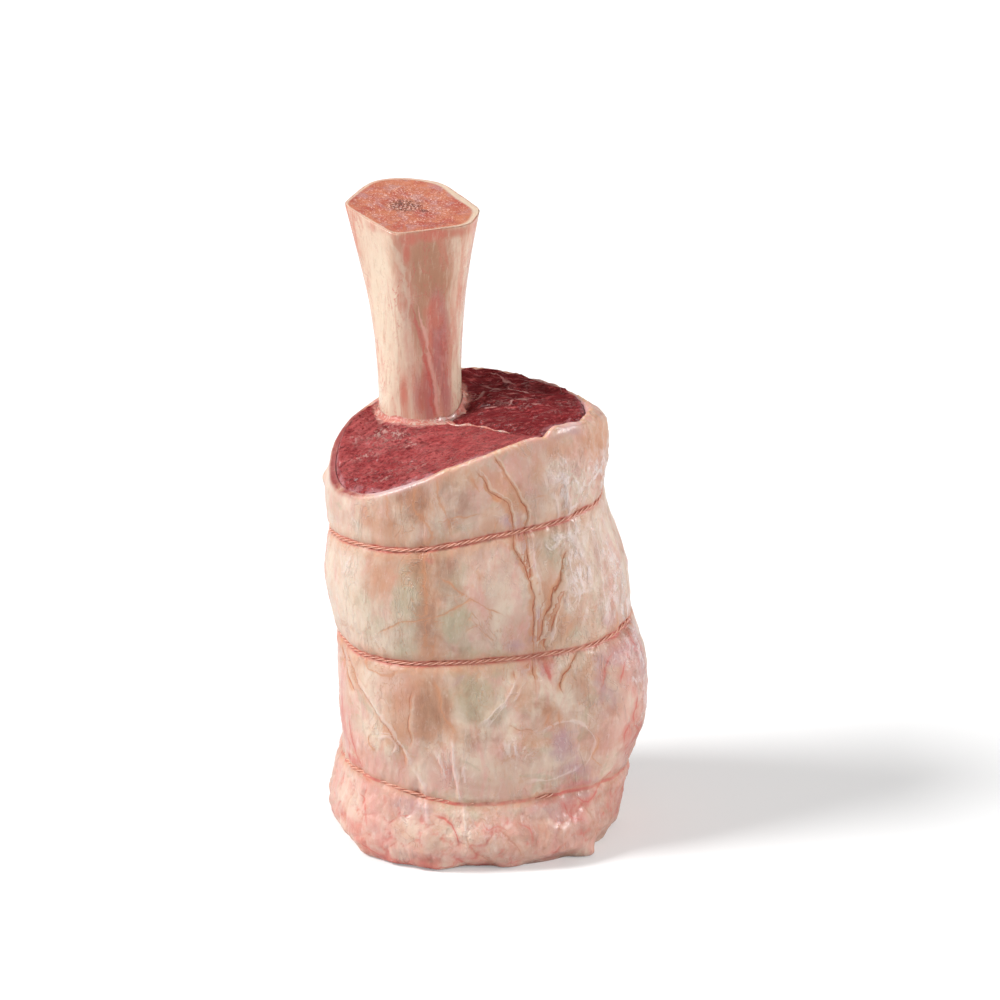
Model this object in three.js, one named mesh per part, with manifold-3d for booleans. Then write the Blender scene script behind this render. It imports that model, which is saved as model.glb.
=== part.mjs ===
// A raw beef shank on the bone, trimmed and tied so that it stands on its cut lower end.
//
// The shank is built the way the real one is. A leg bone runs through its whole height and
// stands bare above the meat, flaring to a flat sawn end. Round the bone lie two muscles, a large
// one in front and a smaller one behind it on the right, parted by a thin white seam of tissue
// that also sleeves the bone and stands up as a cuff at its foot. A cover of fat and silverskin
// wraps the muscles like a sleeve, open at the slanting upper cut and at the flat lower one.
// Three loops of butcher's twine sink into grooves in the cover, each knotted at the back.
//
// Units are millimetres. +Z is up, -Y is the front, and the origin is the middle of the base.

import * as THREE from "three";
import { mergeVertices } from "three/addons/utils/BufferGeometryUtils.js";
import Module from "manifold-3d";

const wasm = await Module();
wasm.setup();

// ---------------------------------------------------------------- driving dimensions

const MEAT_AXIS = { x: -7, y: 0 }; // the line that every section's angles are counted round
const MEAT_SQUARENESS = { front: 2.65, back: 1.9 }; // 2 is an ellipse, more is nearer to a box

// Sections of the tied meat: how far it reaches each way at a height.
const MEAT_SECTIONS = [
  { z: 10, left: -73.4, right: 63.0, front: -64.5, back: 58.0 },
  { z: 34, left: -70.4, right: 69.6, front: -58.5, back: 61.0 },
  { z: 60, left: -69.2, right: 74.2, front: -56.0, back: 62.0 },
  { z: 84, left: -69.8, right: 72.6, front: -54.0, back: 61.0 },
  { z: 101, left: -71.2, right: 68.6, front: -52.0, back: 59.5 },
  { z: 126, left: -73.9, right: 63.6, front: -51.5, back: 59.0 },
  { z: 154, left: -73.9, right: 56.6, front: -50.0, back: 56.0 },
  { z: 180, left: -71.4, right: 54.4, front: -47.5, back: 53.0 },
  { z: 215, left: -62.0, right: 52.0, front: -44.0, back: 49.0 },
];
const BASE_ROUNDING = { height: 10, inset: 5.5 }; // the lower edge's curl on to the table
const RIM_ROUNDING = { height: 8, share: 0.6 }; // the upper edge's, inset by a share of the cover

// The upper cut: a slanting, slightly twisted surface, z as a function of x and y.
const CUT = { height: 197.7, right: 0.166, back: 0.068, twist: -0.0046, bowX: -0.0013, bowY: 0.0014 };

// The cover of fat: thin all round, with a thick roll at the right.
const COVER = { thickness: 2.8, rollThickness: 4.8, rollAngle: 5, rollSpread: 36 };

// Each loop's height goes round as height + right*cos + back*sin + wave*cos(4 angle).
const TWINE_LOOPS = [
  { name: "twine_top", height: 155.6, right: 10.3, back: -1.5, wave: 0.0, groove: 2.2 },
  { name: "twine_middle", height: 100.4, right: 3.6, back: 1.5, wave: 0.0, groove: 2.8 },
  { name: "twine_bottom", height: 35.2, right: -2.6, back: 2.0, wave: -2.4, groove: 3.4 },
];
const TWINE = { diameter: 2.0, sides: 6, steps: 46, grooveWidth: 2.6, pinch: 1.6, pinchWidth: 13 };
const KNOT = { angle: 97, radius: 2.9, tail: 15, tailSteps: 4 };

// The bone: its axis, and how far its flat faces lie from that axis, at the sawn end and below.
const BONE_AXIS = [
  { z: 0, x: -24.0, y: 15.0 },
  { z: 100, x: -27.5, y: 22.0 },
  { z: 195, x: -30.7, y: 26.0 },
  { z: 300, x: -34.1, y: 27.4 },
];
const BONE_FACES = [
  { angle: -139.0, sawn: 24.2, shaft: 17.0 },
  { angle: -71.4, sawn: 23.0, shaft: 16.6 },
  { angle: -19.8, sawn: 30.4, shaft: 19.2 },
  { angle: 37.5, sawn: 24.8, shaft: 18.2 },
  { angle: 78.4, sawn: 25.8, shaft: 16.6 },
  { angle: 108.4, sawn: 27.8, shaft: 16.4 },
  { angle: 150.8, sawn: 27.8, shaft: 17.0 },
];
const BONE = {
  top: 290.4, // height of the sawn end at its middle
  topRight: -0.04, // the saw cut's slope to the right
  topBack: 0.19, // and to the back
  flareStart: 196,
  flarePower: 2.7,
  sawnSharpness: 16, // how sharp the corners between the faces are at the sawn end
  shaftSharpness: 3.4,
  footSwell: 3.0, // how much wider the bone is where it stands on the table
};

// The seam between the muscles, and the sleeve of the same tissue round the bone.
const SEAM = {
  thickness: 1.0,
  bearing: -49.5, // degrees, from the bone's axis out to the front right
  bow: 3.0, // how far the sheet bows towards the back on its way
  bowLength: 75,
  sleeve: 1.2,
  cuffRise: 3.2,
  cuffSpread: 1.6,
};

const GAP = 0.3; // clearance between neighbouring solids
const AROUND = 40; // facets round the meat
const BONE_AROUND = 26; // and round the bone

// ---------------------------------------------------------------- small helpers

const radians = THREE.MathUtils.degToRad;

// A value of the sections at a height, on a smooth curve through them.
function along(sections, z, key) {
  const last = sections.length - 1;
  let i = 0;
  while (i < last - 1 && z > sections[i + 1].z) i += 1;
  const slope = (k) => {
    const a = sections[Math.max(k - 1, 0)];
    const b = sections[Math.min(k + 1, last)];
    return (b[key] - a[key]) / (b.z - a.z);
  };
  const [from, to] = [sections[i], sections[i + 1]];
  const span = to.z - from.z;
  const t = THREE.MathUtils.clamp((z - from.z) / span, 0, 1);
  const [t2, t3] = [t * t, t * t * t];
  return (
    (2 * t3 - 3 * t2 + 1) * from[key] +
    (t3 - 2 * t2 + t) * span * slope(i) +
    (3 * t2 - 2 * t3) * to[key] +
    (t3 - t2) * span * slope(i + 1)
  );
}

// A bell curve, 1 at 0, that falls off over the width.
const bell = (distance, width) => Math.exp(-((distance / width) ** 2));

// The angle from a to b in degrees, the short way round.
const turn = (a, b) => THREE.MathUtils.euclideanModulo(b - a + 180, 360) - 180;

// ---------------------------------------------------------------- the meat's surfaces

function cutHeight(x, y) {
  const slope = CUT.right * x + CUT.back * y;
  return CUT.height + slope + CUT.twist * x * y + CUT.bowX * x * x + CUT.bowY * y * y;
}

function loopHeight(loop, angle) {
  const slope = loop.right * Math.cos(angle) + loop.back * Math.sin(angle);
  return loop.height + slope + loop.wave * Math.cos(4 * angle);
}

// How far the meat's outside lies from its axis, before the twine pulls it in.
function sectionRadius(angle, z) {
  const [c, s] = [Math.cos(angle), Math.sin(angle)];
  const height = Math.max(z, MEAT_SECTIONS[0].z);
  const across = Math.abs(along(MEAT_SECTIONS, height, c > 0 ? "right" : "left") - MEAT_AXIS.x);
  const deep = Math.abs(along(MEAT_SECTIONS, height, s > 0 ? "back" : "front") - MEAT_AXIS.y);
  const n = THREE.MathUtils.mapLinear(s, -1, 1, MEAT_SQUARENESS.front, MEAT_SQUARENESS.back);
  const radius = ((Math.abs(c) / across) ** n + (Math.abs(s) / deep) ** n) ** (-1 / n);
  const curl = Math.max(0, 1 - z / BASE_ROUNDING.height);
  return radius - BASE_ROUNDING.inset * (1 - Math.sqrt(1 - curl * curl));
}

// The same with the grooves, and the broad waist that each tied loop makes.
function tiedRadius(angle, z) {
  let radius = sectionRadius(angle, z);
  for (const loop of TWINE_LOOPS) {
    const off = z - loopHeight(loop, angle);
    radius -= (loop.groove - TWINE.pinch) * bell(off, TWINE.grooveWidth);
    radius -= TWINE.pinch * bell(off, TWINE.pinchWidth);
  }
  return radius;
}

function aroundAxis(angle, radius, z) {
  const [x, y] = [radius * Math.cos(angle), radius * Math.sin(angle)];
  return new THREE.Vector3(MEAT_AXIS.x + x, MEAT_AXIS.y + y, z);
}

// A point of the meat's outside, with the upper edge rounded over towards the cut.
function meatPoint(angle, z, lift = 0) {
  const radius = tiedRadius(angle, z);
  const square = aroundAxis(angle, radius, z);
  const below = cutHeight(square.x, square.y) - z;
  const curl = THREE.MathUtils.clamp(1 - below / RIM_ROUNDING.height, 0, 1);
  const inset = RIM_ROUNDING.share * coverThickness(angle) * (1 - Math.sqrt(1 - curl * curl));
  return aroundAxis(angle, radius - inset + lift, z);
}

// The height at which the meat's outside meets the upper cut, found by stepping towards it.
function rimHeight(angle) {
  let z = CUT.height;
  for (let step = 0; step < 12; step += 1) {
    const p = aroundAxis(angle, tiedRadius(angle, z), z);
    z = cutHeight(p.x, p.y);
  }
  return z;
}

function coverThickness(angle) {
  const off = turn(COVER.rollAngle, THREE.MathUtils.radToDeg(angle));
  return COVER.thickness + COVER.rollThickness * bell(off, COVER.rollSpread);
}

// ---------------------------------------------------------------- the bone's surface

function boneRadius(angle, z) {
  const share = (z - BONE.flareStart) / (BONE.top - BONE.flareStart);
  const flare = THREE.MathUtils.clamp(share, 0, 1.1) ** BONE.flarePower;
  const sharpness = THREE.MathUtils.lerp(BONE.shaftSharpness, BONE.sawnSharpness, Math.min(flare, 1));
  let sum = 0;
  for (const face of BONE_FACES) {
    const distance = THREE.MathUtils.lerp(face.shaft, face.sawn, flare);
    sum += Math.max(0, Math.cos(angle - radians(face.angle)) / distance) ** sharpness;
  }
  const swell = BONE.footSwell * bell(z, 45);
  return sum ** (-1 / sharpness) * shaftEvening(sharpness) + swell;
}

// Soft corners take a rounded section inside its faces, so it is scaled back out to them.
function shaftEvening(sharpness) {
  return THREE.MathUtils.mapLinear(sharpness, BONE.shaftSharpness, BONE.sawnSharpness, 1.12, 1.0);
}

function bonePoint(angle, z, grow = 0) {
  const radius = boneRadius(angle, z) + grow;
  return new THREE.Vector3(
    along(BONE_AXIS, z, "x") + radius * Math.cos(angle),
    along(BONE_AXIS, z, "y") + radius * Math.sin(angle),
    z,
  );
}

function boneTopHeight(x, y) {
  const [midX, midY] = [along(BONE_AXIS, BONE.top, "x"), along(BONE_AXIS, BONE.top, "y")];
  return BONE.top + BONE.topRight * (x - midX) + BONE.topBack * (y - midY);
}

// ---------------------------------------------------------------- solids

// A closed solid from rings of points, lowest first, with a fan at each end.
function solidOfRings(rings) {
  const count = rings[0].length;
  const points = rings.flat();
  const faces = [];
  for (let r = 0; r < rings.length - 1; r += 1) {
    for (let i = 0; i < count; i += 1) {
      const [a, b] = [r * count + i, r * count + ((i + 1) % count)];
      faces.push(a, b, b + count, a, b + count, a + count);
    }
  }
  const middle = (ring) => ring.reduce((sum, p) => sum.add(p), new THREE.Vector3()).divideScalar(count);
  const [low, high] = [points.push(middle(rings[0])) - 1, points.push(middle(rings.at(-1))) - 1];
  const top = (rings.length - 1) * count;
  for (let i = 0; i < count; i += 1) {
    const next = (i + 1) % count;
    faces.push(low, next, i, high, top + i, top + next);
  }
  const geometry = new THREE.BufferGeometry().setFromPoints(points);
  geometry.setIndex(faces);
  return solidOf(geometry);
}

function solidOf(geometry) {
  const bare = geometry.clone();
  bare.deleteAttribute("normal");
  bare.deleteAttribute("uv");
  const merged = mergeVertices(bare, 1e-4);
  return new wasm.Manifold(
    new wasm.Mesh({
      numProp: 3,
      vertProperties: new Float32Array(merged.attributes.position.array),
      triVerts: new Uint32Array(merged.index.array),
    }),
  );
}

function meshOf(name, solid, material) {
  const { vertProperties, triVerts } = solid.getMesh();
  const geometry = new THREE.BufferGeometry();
  geometry.setAttribute("position", new THREE.BufferAttribute(vertProperties, 3));
  geometry.setIndex(new THREE.BufferAttribute(triVerts, 1));
  geometry.computeVertexNormals();
  const mesh = new THREE.Mesh(geometry, material);
  mesh.name = name;
  return mesh;
}

function ringOf(count, point) {
  return Array.from({ length: count }, (_, i) => point((2 * Math.PI * i) / count));
}

// Heights of the meat's rings at an angle: close together at each groove, and wider between.
function ringHeights(angle) {
  const heights = [0, 1.5, 5, 11];
  const nearGroove = [-4.5, -1.6, 0, 1.6, 4.5];
  const stops = [...TWINE_LOOPS].reverse().map((loop) => loopHeight(loop, angle));
  let below = heights.at(-1);
  for (const stop of stops) {
    const first = stop + nearGroove[0];
    heights.push((below + first) / 2);
    heights.push(...nearGroove.map((off) => stop + off));
    below = heights.at(-1);
  }
  const rim = rimHeight(angle);
  heights.push((below + rim) / 2, rim - RIM_ROUNDING.height, rim - 0.3 * RIM_ROUNDING.height, rim);
  return heights;
}

// The whole tied meat as one body, closed by the upper cut's surface.
function wholeMeat() {
  const rows = ringHeights(0).length;
  const rings = Array.from({ length: rows }, (_, row) =>
    ringOf(AROUND, (angle) => meatPoint(angle, ringHeights(angle)[row])),
  );
  const rim = rings.at(-1);
  for (const share of [0.78, 0.46, 0.15]) {
    rings.push(
      rim.map((p) => {
        const x = THREE.MathUtils.lerp(MEAT_AXIS.x, p.x, share);
        const y = THREE.MathUtils.lerp(MEAT_AXIS.y, p.y, share);
        return new THREE.Vector3(x, y, cutHeight(x, y));
      }),
    );
  }
  return solidOfRings(rings);
}

// The space inside the cover, with plain ends that pass both cuts. More inset makes it slimmer.
function insideCover(inset) {
  const heights = [-5, 10, 34, 60, 84, 101, 126, 154, 180, 240];
  return solidOfRings(
    heights.map((z) =>
      ringOf(AROUND, (angle) => {
        const radius = sectionRadius(angle, Math.max(z, 0)) - TWINE.pinch - coverThickness(angle) - inset;
        return aroundAxis(angle, radius, z);
      }),
    ),
  );
}

// The bone, or the room it takes when grown on every side.
function boneSolid(grow, lowest, highest) {
  const stations = [0, 20, 50, 100, 150, 196, 215, 232, 247, 260, 271, 280];
  const heights = [lowest, ...stations.filter((z) => z > lowest && z < highest - 4)];
  const rings = heights.map((z) => ringOf(BONE_AROUND, (angle) => bonePoint(angle, z, grow)));
  rings.push(
    ringOf(BONE_AROUND, (angle) => {
      const p = bonePoint(angle, highest, grow);
      if (highest < BONE.top) return p;
      return new THREE.Vector3(p.x, p.y, boneTopHeight(p.x, p.y));
    }),
  );
  return solidOfRings(rings);
}

// The cuff: the sleeve's free end, spreading at the bone's foot and hugging the bone above it.
function cuffSolid(grow) {
  const steps = [
    { rise: -8, spread: 0 },
    { rise: 0.5, spread: 1 },
    { rise: 2, spread: 0.6 },
    { rise: SEAM.cuffRise, spread: 0 },
  ];
  return solidOfRings(
    steps.map(({ rise, spread }) =>
      ringOf(BONE_AROUND, (angle) => {
        const foot = bonePoint(angle, BONE.flareStart);
        const z = cutHeight(foot.x, foot.y) + rise;
        return bonePoint(angle, z, GAP + SEAM.sleeve + SEAM.cuffSpread * spread + grow);
      }),
    ),
  );
}

// The seam's sheet, from the bone's axis out to the front right, grown on both sides.
function seamSheet(grow) {
  const bearing = radians(SEAM.bearing);
  const ahead = new THREE.Vector2(Math.cos(bearing), Math.sin(bearing));
  const aside = new THREE.Vector2(-ahead.y, ahead.x);
  const reaches = [-60, 0, 25, 50, 75, 100];
  const half = SEAM.thickness / 2 + grow;
  const outline = (side) =>
    reaches.map((reach) => {
      const bow = SEAM.bow * Math.sin((Math.PI * Math.max(reach, 0)) / SEAM.bowLength);
      return new THREE.Vector2().addScaledVector(ahead, reach).addScaledVector(aside, bow + side * half);
    });
  const loop = [...outline(-1), ...outline(1).reverse()];
  const [low, high] = [-10, 250];
  const depth = high - low;
  const sheet = new THREE.ExtrudeGeometry(new THREE.Shape(loop), { depth, bevelEnabled: false });
  sheet.translate(along(BONE_AXIS, 150, "x"), along(BONE_AXIS, 150, "y"), low);
  return solidOf(sheet);
}

// ---------------------------------------------------------------- twine

// A round tube along a curve, closed at its ends or joined into a ring.
function tube(curve, radius, sides, steps) {
  const section = new THREE.Shape(
    Array.from({ length: sides }, (_, i) => {
      const angle = (2 * Math.PI * i) / sides;
      return new THREE.Vector2(radius * Math.cos(angle), radius * Math.sin(angle));
    }),
  );
  return new THREE.ExtrudeGeometry(section, { extrudePath: curve, steps, bevelEnabled: false });
}

// The loop's centreline lies on the groove's floor, so that the twine is sunk by its own half.
function loopCurve(loop) {
  const lift = TWINE.diameter / 2 + GAP;
  const points = ringOf(TWINE.steps, (angle) => meatPoint(angle, loopHeight(loop, angle), lift));
  return new THREE.CatmullRomCurve3(points, true);
}

// A ring is swept by hand here, because the ends of a swept closed curve have to meet exactly.
function ringTube(curve, radius, sides, steps) {
  const frames = curve.computeFrenetFrames(steps, true);
  const rings = Array.from({ length: steps }, (_, i) => {
    const centre = curve.getPointAt(i / steps);
    return Array.from({ length: sides }, (_, k) => {
      const angle = (2 * Math.PI * k) / sides;
      return centre
        .clone()
        .addScaledVector(frames.normals[i], radius * Math.cos(angle))
        .addScaledVector(frames.binormals[i], radius * Math.sin(angle));
    });
  });
  const faces = [];
  for (let r = 0; r < steps; r += 1) {
    for (let k = 0; k < sides; k += 1) {
      const [a, b] = [r * sides + k, r * sides + ((k + 1) % sides)];
      const [c, d] = [((r + 1) % steps) * sides + k, ((r + 1) % steps) * sides + ((k + 1) % sides)];
      faces.push(a, b, d, a, d, c);
    }
  }
  const geometry = new THREE.BufferGeometry().setFromPoints(rings.flat());
  geometry.setIndex(faces);
  return solidOf(geometry);
}

// One loop with its knot at the back and two short tails that lie on the cover.
function twineSolid(loop) {
  const radius = TWINE.diameter / 2;
  const knotAngle = radians(KNOT.angle);
  const knotHeight = loopHeight(loop, knotAngle);
  const centre = meatPoint(knotAngle, knotHeight, KNOT.radius + GAP);
  const knot = new THREE.IcosahedronGeometry(KNOT.radius, 1);
  knot.translate(centre.x, centre.y, centre.z);
  let solid = ringTube(loopCurve(loop), radius, TWINE.sides, TWINE.steps).add(solidOf(knot));
  for (const side of [-1, 1]) {
    const points = [0, 0.5, 1].map((share) => {
      const angle = knotAngle + side * (0.01 + 0.13 * share);
      const drop = KNOT.tail * (0.06 + 0.75 * share * share + 0.1 * share);
      const clear = radius + GAP + 1.2 * (1 - share) + 0.25;
      return meatPoint(angle, knotHeight - drop, clear);
    });
    const tail = tube(new THREE.CatmullRomCurve3(points), radius, TWINE.sides, KNOT.tailSteps);
    solid = solid.add(solidOf(tail));
  }
  return solid;
}

// ---------------------------------------------------------------- the pieces

const tissue = (color, roughness) => new THREE.MeshStandardMaterial({ color, roughness, metalness: 0 });
const MATERIALS = {
  bone: tissue(0xe8c8a8, 0.45),
  muscle: tissue(0x8f2a30, 0.4),
  seam: tissue(0xe9c9bd, 0.4),
  cover: tissue(0xdcc0a4, 0.4),
  twine: tissue(0xd9a08a, 0.8),
};

const above = 12; // how far a cutter passes the surface that it cuts
const meat = wholeMeat();
const core = insideCover(GAP);
const boneRoom = boneSolid(GAP, -above, BONE.top + above);
const sleeve = boneSolid(GAP + SEAM.sleeve, -above, CUT.height + above).intersect(meat);
const seamPlain = seamSheet(0).intersect(core).intersect(meat);
const seamTissue = seamPlain.add(sleeve).add(cuffSolid(0)).subtract(boneRoom);
const sleeveRoom = boneSolid(2 * GAP + SEAM.sleeve, -above, CUT.height).add(cuffSolid(GAP));
const seamRoom = seamSheet(GAP).add(sleeveRoom);

function muscleSolid(side) {
  const bodies = core.intersect(meat).subtract(seamRoom).decompose();
  bodies.sort((a, b) => b.volume() - a.volume());
  return bodies[side];
}

const coverSolid = meat.subtract(insideCover(0)).subtract(sleeveRoom);

const shank = new THREE.Group();
shank.add(meshOf("bone", boneSolid(0, 0, BONE.top), MATERIALS.bone));
shank.add(meshOf("muscle_front", muscleSolid(0), MATERIALS.muscle));
shank.add(meshOf("muscle_back", muscleSolid(1), MATERIALS.muscle));
shank.add(meshOf("seam_tissue", seamTissue, MATERIALS.seam));
shank.add(meshOf("fat_cover", coverSolid, MATERIALS.cover));
for (const loop of TWINE_LOOPS) {
  shank.add(meshOf(loop.name, twineSolid(loop), MATERIALS.twine));
}

export default shank;
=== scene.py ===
"""The looks of a raw beef shank: bone, two muscles, the seam between them, the fat cover and its twine."""
import math

import bmesh
import bpy
import numpy as np
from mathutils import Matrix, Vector, noise


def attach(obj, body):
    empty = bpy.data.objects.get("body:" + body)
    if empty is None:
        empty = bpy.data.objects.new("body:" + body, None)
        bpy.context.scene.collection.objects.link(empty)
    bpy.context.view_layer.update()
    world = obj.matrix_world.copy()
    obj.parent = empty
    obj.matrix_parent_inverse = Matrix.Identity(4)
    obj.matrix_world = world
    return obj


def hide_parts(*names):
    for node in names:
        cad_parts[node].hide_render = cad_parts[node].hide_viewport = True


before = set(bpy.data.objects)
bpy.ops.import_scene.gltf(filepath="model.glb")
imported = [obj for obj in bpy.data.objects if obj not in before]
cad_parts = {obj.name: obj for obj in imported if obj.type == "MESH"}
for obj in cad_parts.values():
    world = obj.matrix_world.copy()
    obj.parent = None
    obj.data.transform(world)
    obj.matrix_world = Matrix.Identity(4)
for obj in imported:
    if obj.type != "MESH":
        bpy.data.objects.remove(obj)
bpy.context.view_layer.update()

MM = 0.001  # shapes are worked out in millimetres and placed in metres

# ------------------------------------------------------------------ measures, as the solids have them

MEAT_AXIS = (-7.0, 0.0)
SQUARENESS = {"front": 2.65, "back": 1.9}
MEAT_SECTIONS = np.array(  # height, then how far the tied meat reaches left, right, front and back
    [
        (10, -73.4, 63.0, -64.5, 58.0),
        (34, -70.4, 69.6, -58.5, 61.0),
        (60, -69.2, 74.2, -56.0, 62.0),
        (84, -69.8, 72.6, -54.0, 61.0),
        (101, -71.2, 68.6, -52.0, 59.5),
        (126, -73.9, 63.6, -51.5, 59.0),
        (154, -73.9, 56.6, -50.0, 56.0),
        (180, -71.4, 54.4, -47.5, 53.0),
        (215, -62.0, 52.0, -44.0, 49.0),
    ]
)
BASE_ROUNDING = {"height": 10.0, "inset": 5.5}
RIM_ROUNDING = {"height": 8.0, "share": 0.6}
CUT = {"height": 197.7, "right": 0.166, "back": 0.068, "twist": -0.0046, "bow_x": -0.0013, "bow_y": 0.0014}
CUT_DENTS = ((-14.0, 13.0, 12.0, -5.0), (-42.0, 8.0, 9.0, 2.2), (-54.0, 38.0, 16.0, -3.8))  # right, back, reach, rise
COVER = {"thickness": 2.8, "roll": 4.8, "roll_angle": 5.0, "roll_spread": 36.0}
LOOPS = {  # height, its rise to the right and to the back, its wave, and the groove's depth
    "twine_top": (155.6, 10.3, -1.5, 0.0, 2.2),
    "twine_middle": (100.4, 3.6, 1.5, 0.0, 2.8),
    "twine_bottom": (35.2, -2.6, 2.0, -2.4, 3.4),
}
LOOP_LIFT = {"twine_top": (-152, 24, 2.8)}  # the cord rides a little higher here: degrees, width, rise
GROOVE_WIDTH, PINCH, PINCH_WIDTH = 2.6, 1.6, 13.0
BONE_AXIS = np.array([(0, -24.0, 15.0), (100, -27.5, 22.0), (195, -30.7, 26.0), (300, -34.1, 27.4)])
BONE_FACES = (  # the way each flat face looks, and its distance at the sawn end and on the shaft
    (-139.0, 24.2, 17.0),
    (-71.4, 23.0, 16.6),
    (-19.8, 30.4, 19.2),
    (37.5, 24.8, 18.2),
    (78.4, 25.8, 16.6),
    (108.4, 27.8, 16.4),
    (150.8, 27.8, 17.0),
)
BONE = {"top": 290.4, "right": -0.04, "back": 0.19, "flare_start": 196.0, "flare_power": 2.7}
BONE_SHARPNESS = {"sawn": 16.0, "shaft": 3.4}
BONE_FOOT = {"swell": 3.0, "height": 45.0}
SEAM_BEARING = -49.5
SEAM_SLEEVE = 1.2
GAP = 0.3
SEAM_TOP = 192.0  # where the sheet starts to follow the cut
CUFF_FOOT = 196.0
BARE_FROM = 168.0  # the bone is finely divided above this
DEGREE_ARC = 1.06  # millimetres of skin for each degree round the meat
NO_LINE = 7.0  # the distance stored where no line is near
WIDE_REACH = 9.0
SKIN_RADIUS = 60

# ------------------------------------------------------------------ what the photograph shows on the skin
# Paths run over the skin as (degrees round the meat, height in mm); -90 degrees is the front.

CREASES = {  # red-brown wrinkles: path, half width, depth, how dark
    "long_left": (
        [(-87, 190.5), (-83, 186), (-80, 180.8), (-74, 177.8), (-71, 174.8), (-70, 169.5), (-68.5, 162.8),
         (-68.5, 157.5), (-67.5, 151.5), (-63.5, 143.2), (-61.5, 135.8), (-61.5, 126.8), (-61, 117.8),
         (-60.5, 107.2), (-60.5, 94)],
        0.65, 0.9, 0.75,
    ),
    "long_right": (
        [(-78, 197), (-76, 194.2), (-70.5, 186.8), (-66, 178.5), (-62, 171.8), (-62, 165.8), (-62.5, 161.2),
         (-62.5, 155.2), (-62, 145.5), (-60.5, 136.5)],
        0.6, 0.8, 0.7,
    ),
    "long_third": ([(-66, 151), (-64.5, 146), (-60, 140), (-59, 130), (-59.5, 122)], 0.5, 0.6, 0.4),
    "fold": (
        [(-44.5, 150.8), (-47, 145), (-49.5, 139), (-51, 135), (-54, 129), (-55.5, 123), (-56.5, 116)],
        0.7, 0.9, 0.65,
    ),
    "fold_twin": ([(-51, 139), (-53, 133), (-54, 127), (-57, 121), (-57.5, 113), (-58.5, 106)], 0.6, 0.7, 0.7),
    "fold_third": ([(-48, 134), (-50, 127), (-52.5, 121), (-53.5, 113)], 0.55, 0.6, 0.6),
    "fold_low": ([(-55, 112), (-56, 107), (-55, 103)], 0.7, 0.8, 0.8),
    "nick": ([(-167, 99), (-165.5, 93), (-162.5, 88.5), (-158, 85)], 2.2, 1.8, 1.0),
    "nick_low": ([(-157, 86), (-152, 81), (-147, 78)], 0.8, 0.9, 0.9),
    "left_fold": (
        [(-158, 93.8), (-151, 88.5), (-143.5, 81.8), (-136, 73.5), (-128.5, 65.2), (-122.5, 57), (-119, 46.5)],
        0.8, 0.8, 0.25,
    ),
    "tan_edge": ([(-118, 85.5), (-118.5, 77.2), (-118.5, 70.5), (-117.5, 61), (-119, 57.5)], 0.6, 0.5, 0.3),
    "low_fold": ([(-41.5, 101.2), (-46, 94.5), (-51, 88.5), (-49.5, 83)], 0.6, 0.8, 0.45),
    "under_loop": ([(-70, 96), (-69.5, 90)], 0.7, 0.9, 0.7),
    "under_loop_twin": ([(-60.5, 98), (-60.5, 90)], 0.9, 1.2, 1.0),
    "under_loop_last": ([(-63.5, 99), (-63, 94)], 0.7, 0.9, 0.9),
    "lobe_valley": (
        [(-31, 176), (-29, 160), (-26, 145), (-24, 128), (-25, 112), (-27.5, 98), (-33, 90), (-36, 80),
         (-34, 71), (-28, 66)],
        2.8, 0.7, 0.08,
    ),
    "lobule_left": ([(-93, 22), (-90.5, 13.5), (-84, 6), (-80, 1)], 0.9, 1.0, 0.15),
    "lobule_right": ([(-79, 22), (-76, 18), (-73, 14.2), (-70, 7.5)], 0.9, 1.0, 0.2),
    "lobule_far": ([(-62, 27), (-60, 20), (-63, 12), (-60, 5)], 0.8, 0.8, 0.1),
    "corner_fold": ([(-47, 33), (-43, 24), (-40, 14), (-38, 4)], 1.0, 1.0, 0.1),
    "right_rear": ([(-6, 46), (-3, 36), (2, 25), (4, 12)], 1.0, 1.2, 0.4),
    "left_low": ([(-148, 36), (-146, 28), (-150, 18), (-146, 9)], 0.9, 0.9, 0.1),
    "left_low_twin": ([(-126, 33), (-122, 24), (-112, 14), (-105, 4)], 0.9, 0.9, 0.1),
    "brown_edge": ([(-73, 70), (-69, 67), (-65, 68), (-61, 65)], 0.6, 0.5, 0.25),
    "back_long": ([(118, 190), (112, 168), (116, 150), (108, 128), (112, 108)], 0.7, 0.8, 0.6),
    "back_branch": ([(62, 150), (70, 132), (76, 118), (74, 104)], 0.6, 0.7, 0.5),
    "back_low": ([(140, 92), (132, 76), (136, 60), (128, 44)], 0.7, 0.8, 0.5),
    "back_left": ([(168, 150), (162, 134), (170, 118), (166, 104)], 0.6, 0.7, 0.4),
    "back_right": ([(40, 90), (46, 74), (42, 58), (50, 44)], 0.6, 0.7, 0.4),
    "back_foot": ([(84, 30), (90, 20), (86, 8)], 0.8, 1.0, 0.5),
    "back_foot_left": ([(152, 28), (158, 18), (150, 7)], 0.8, 1.0, 0.5),
}
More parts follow.
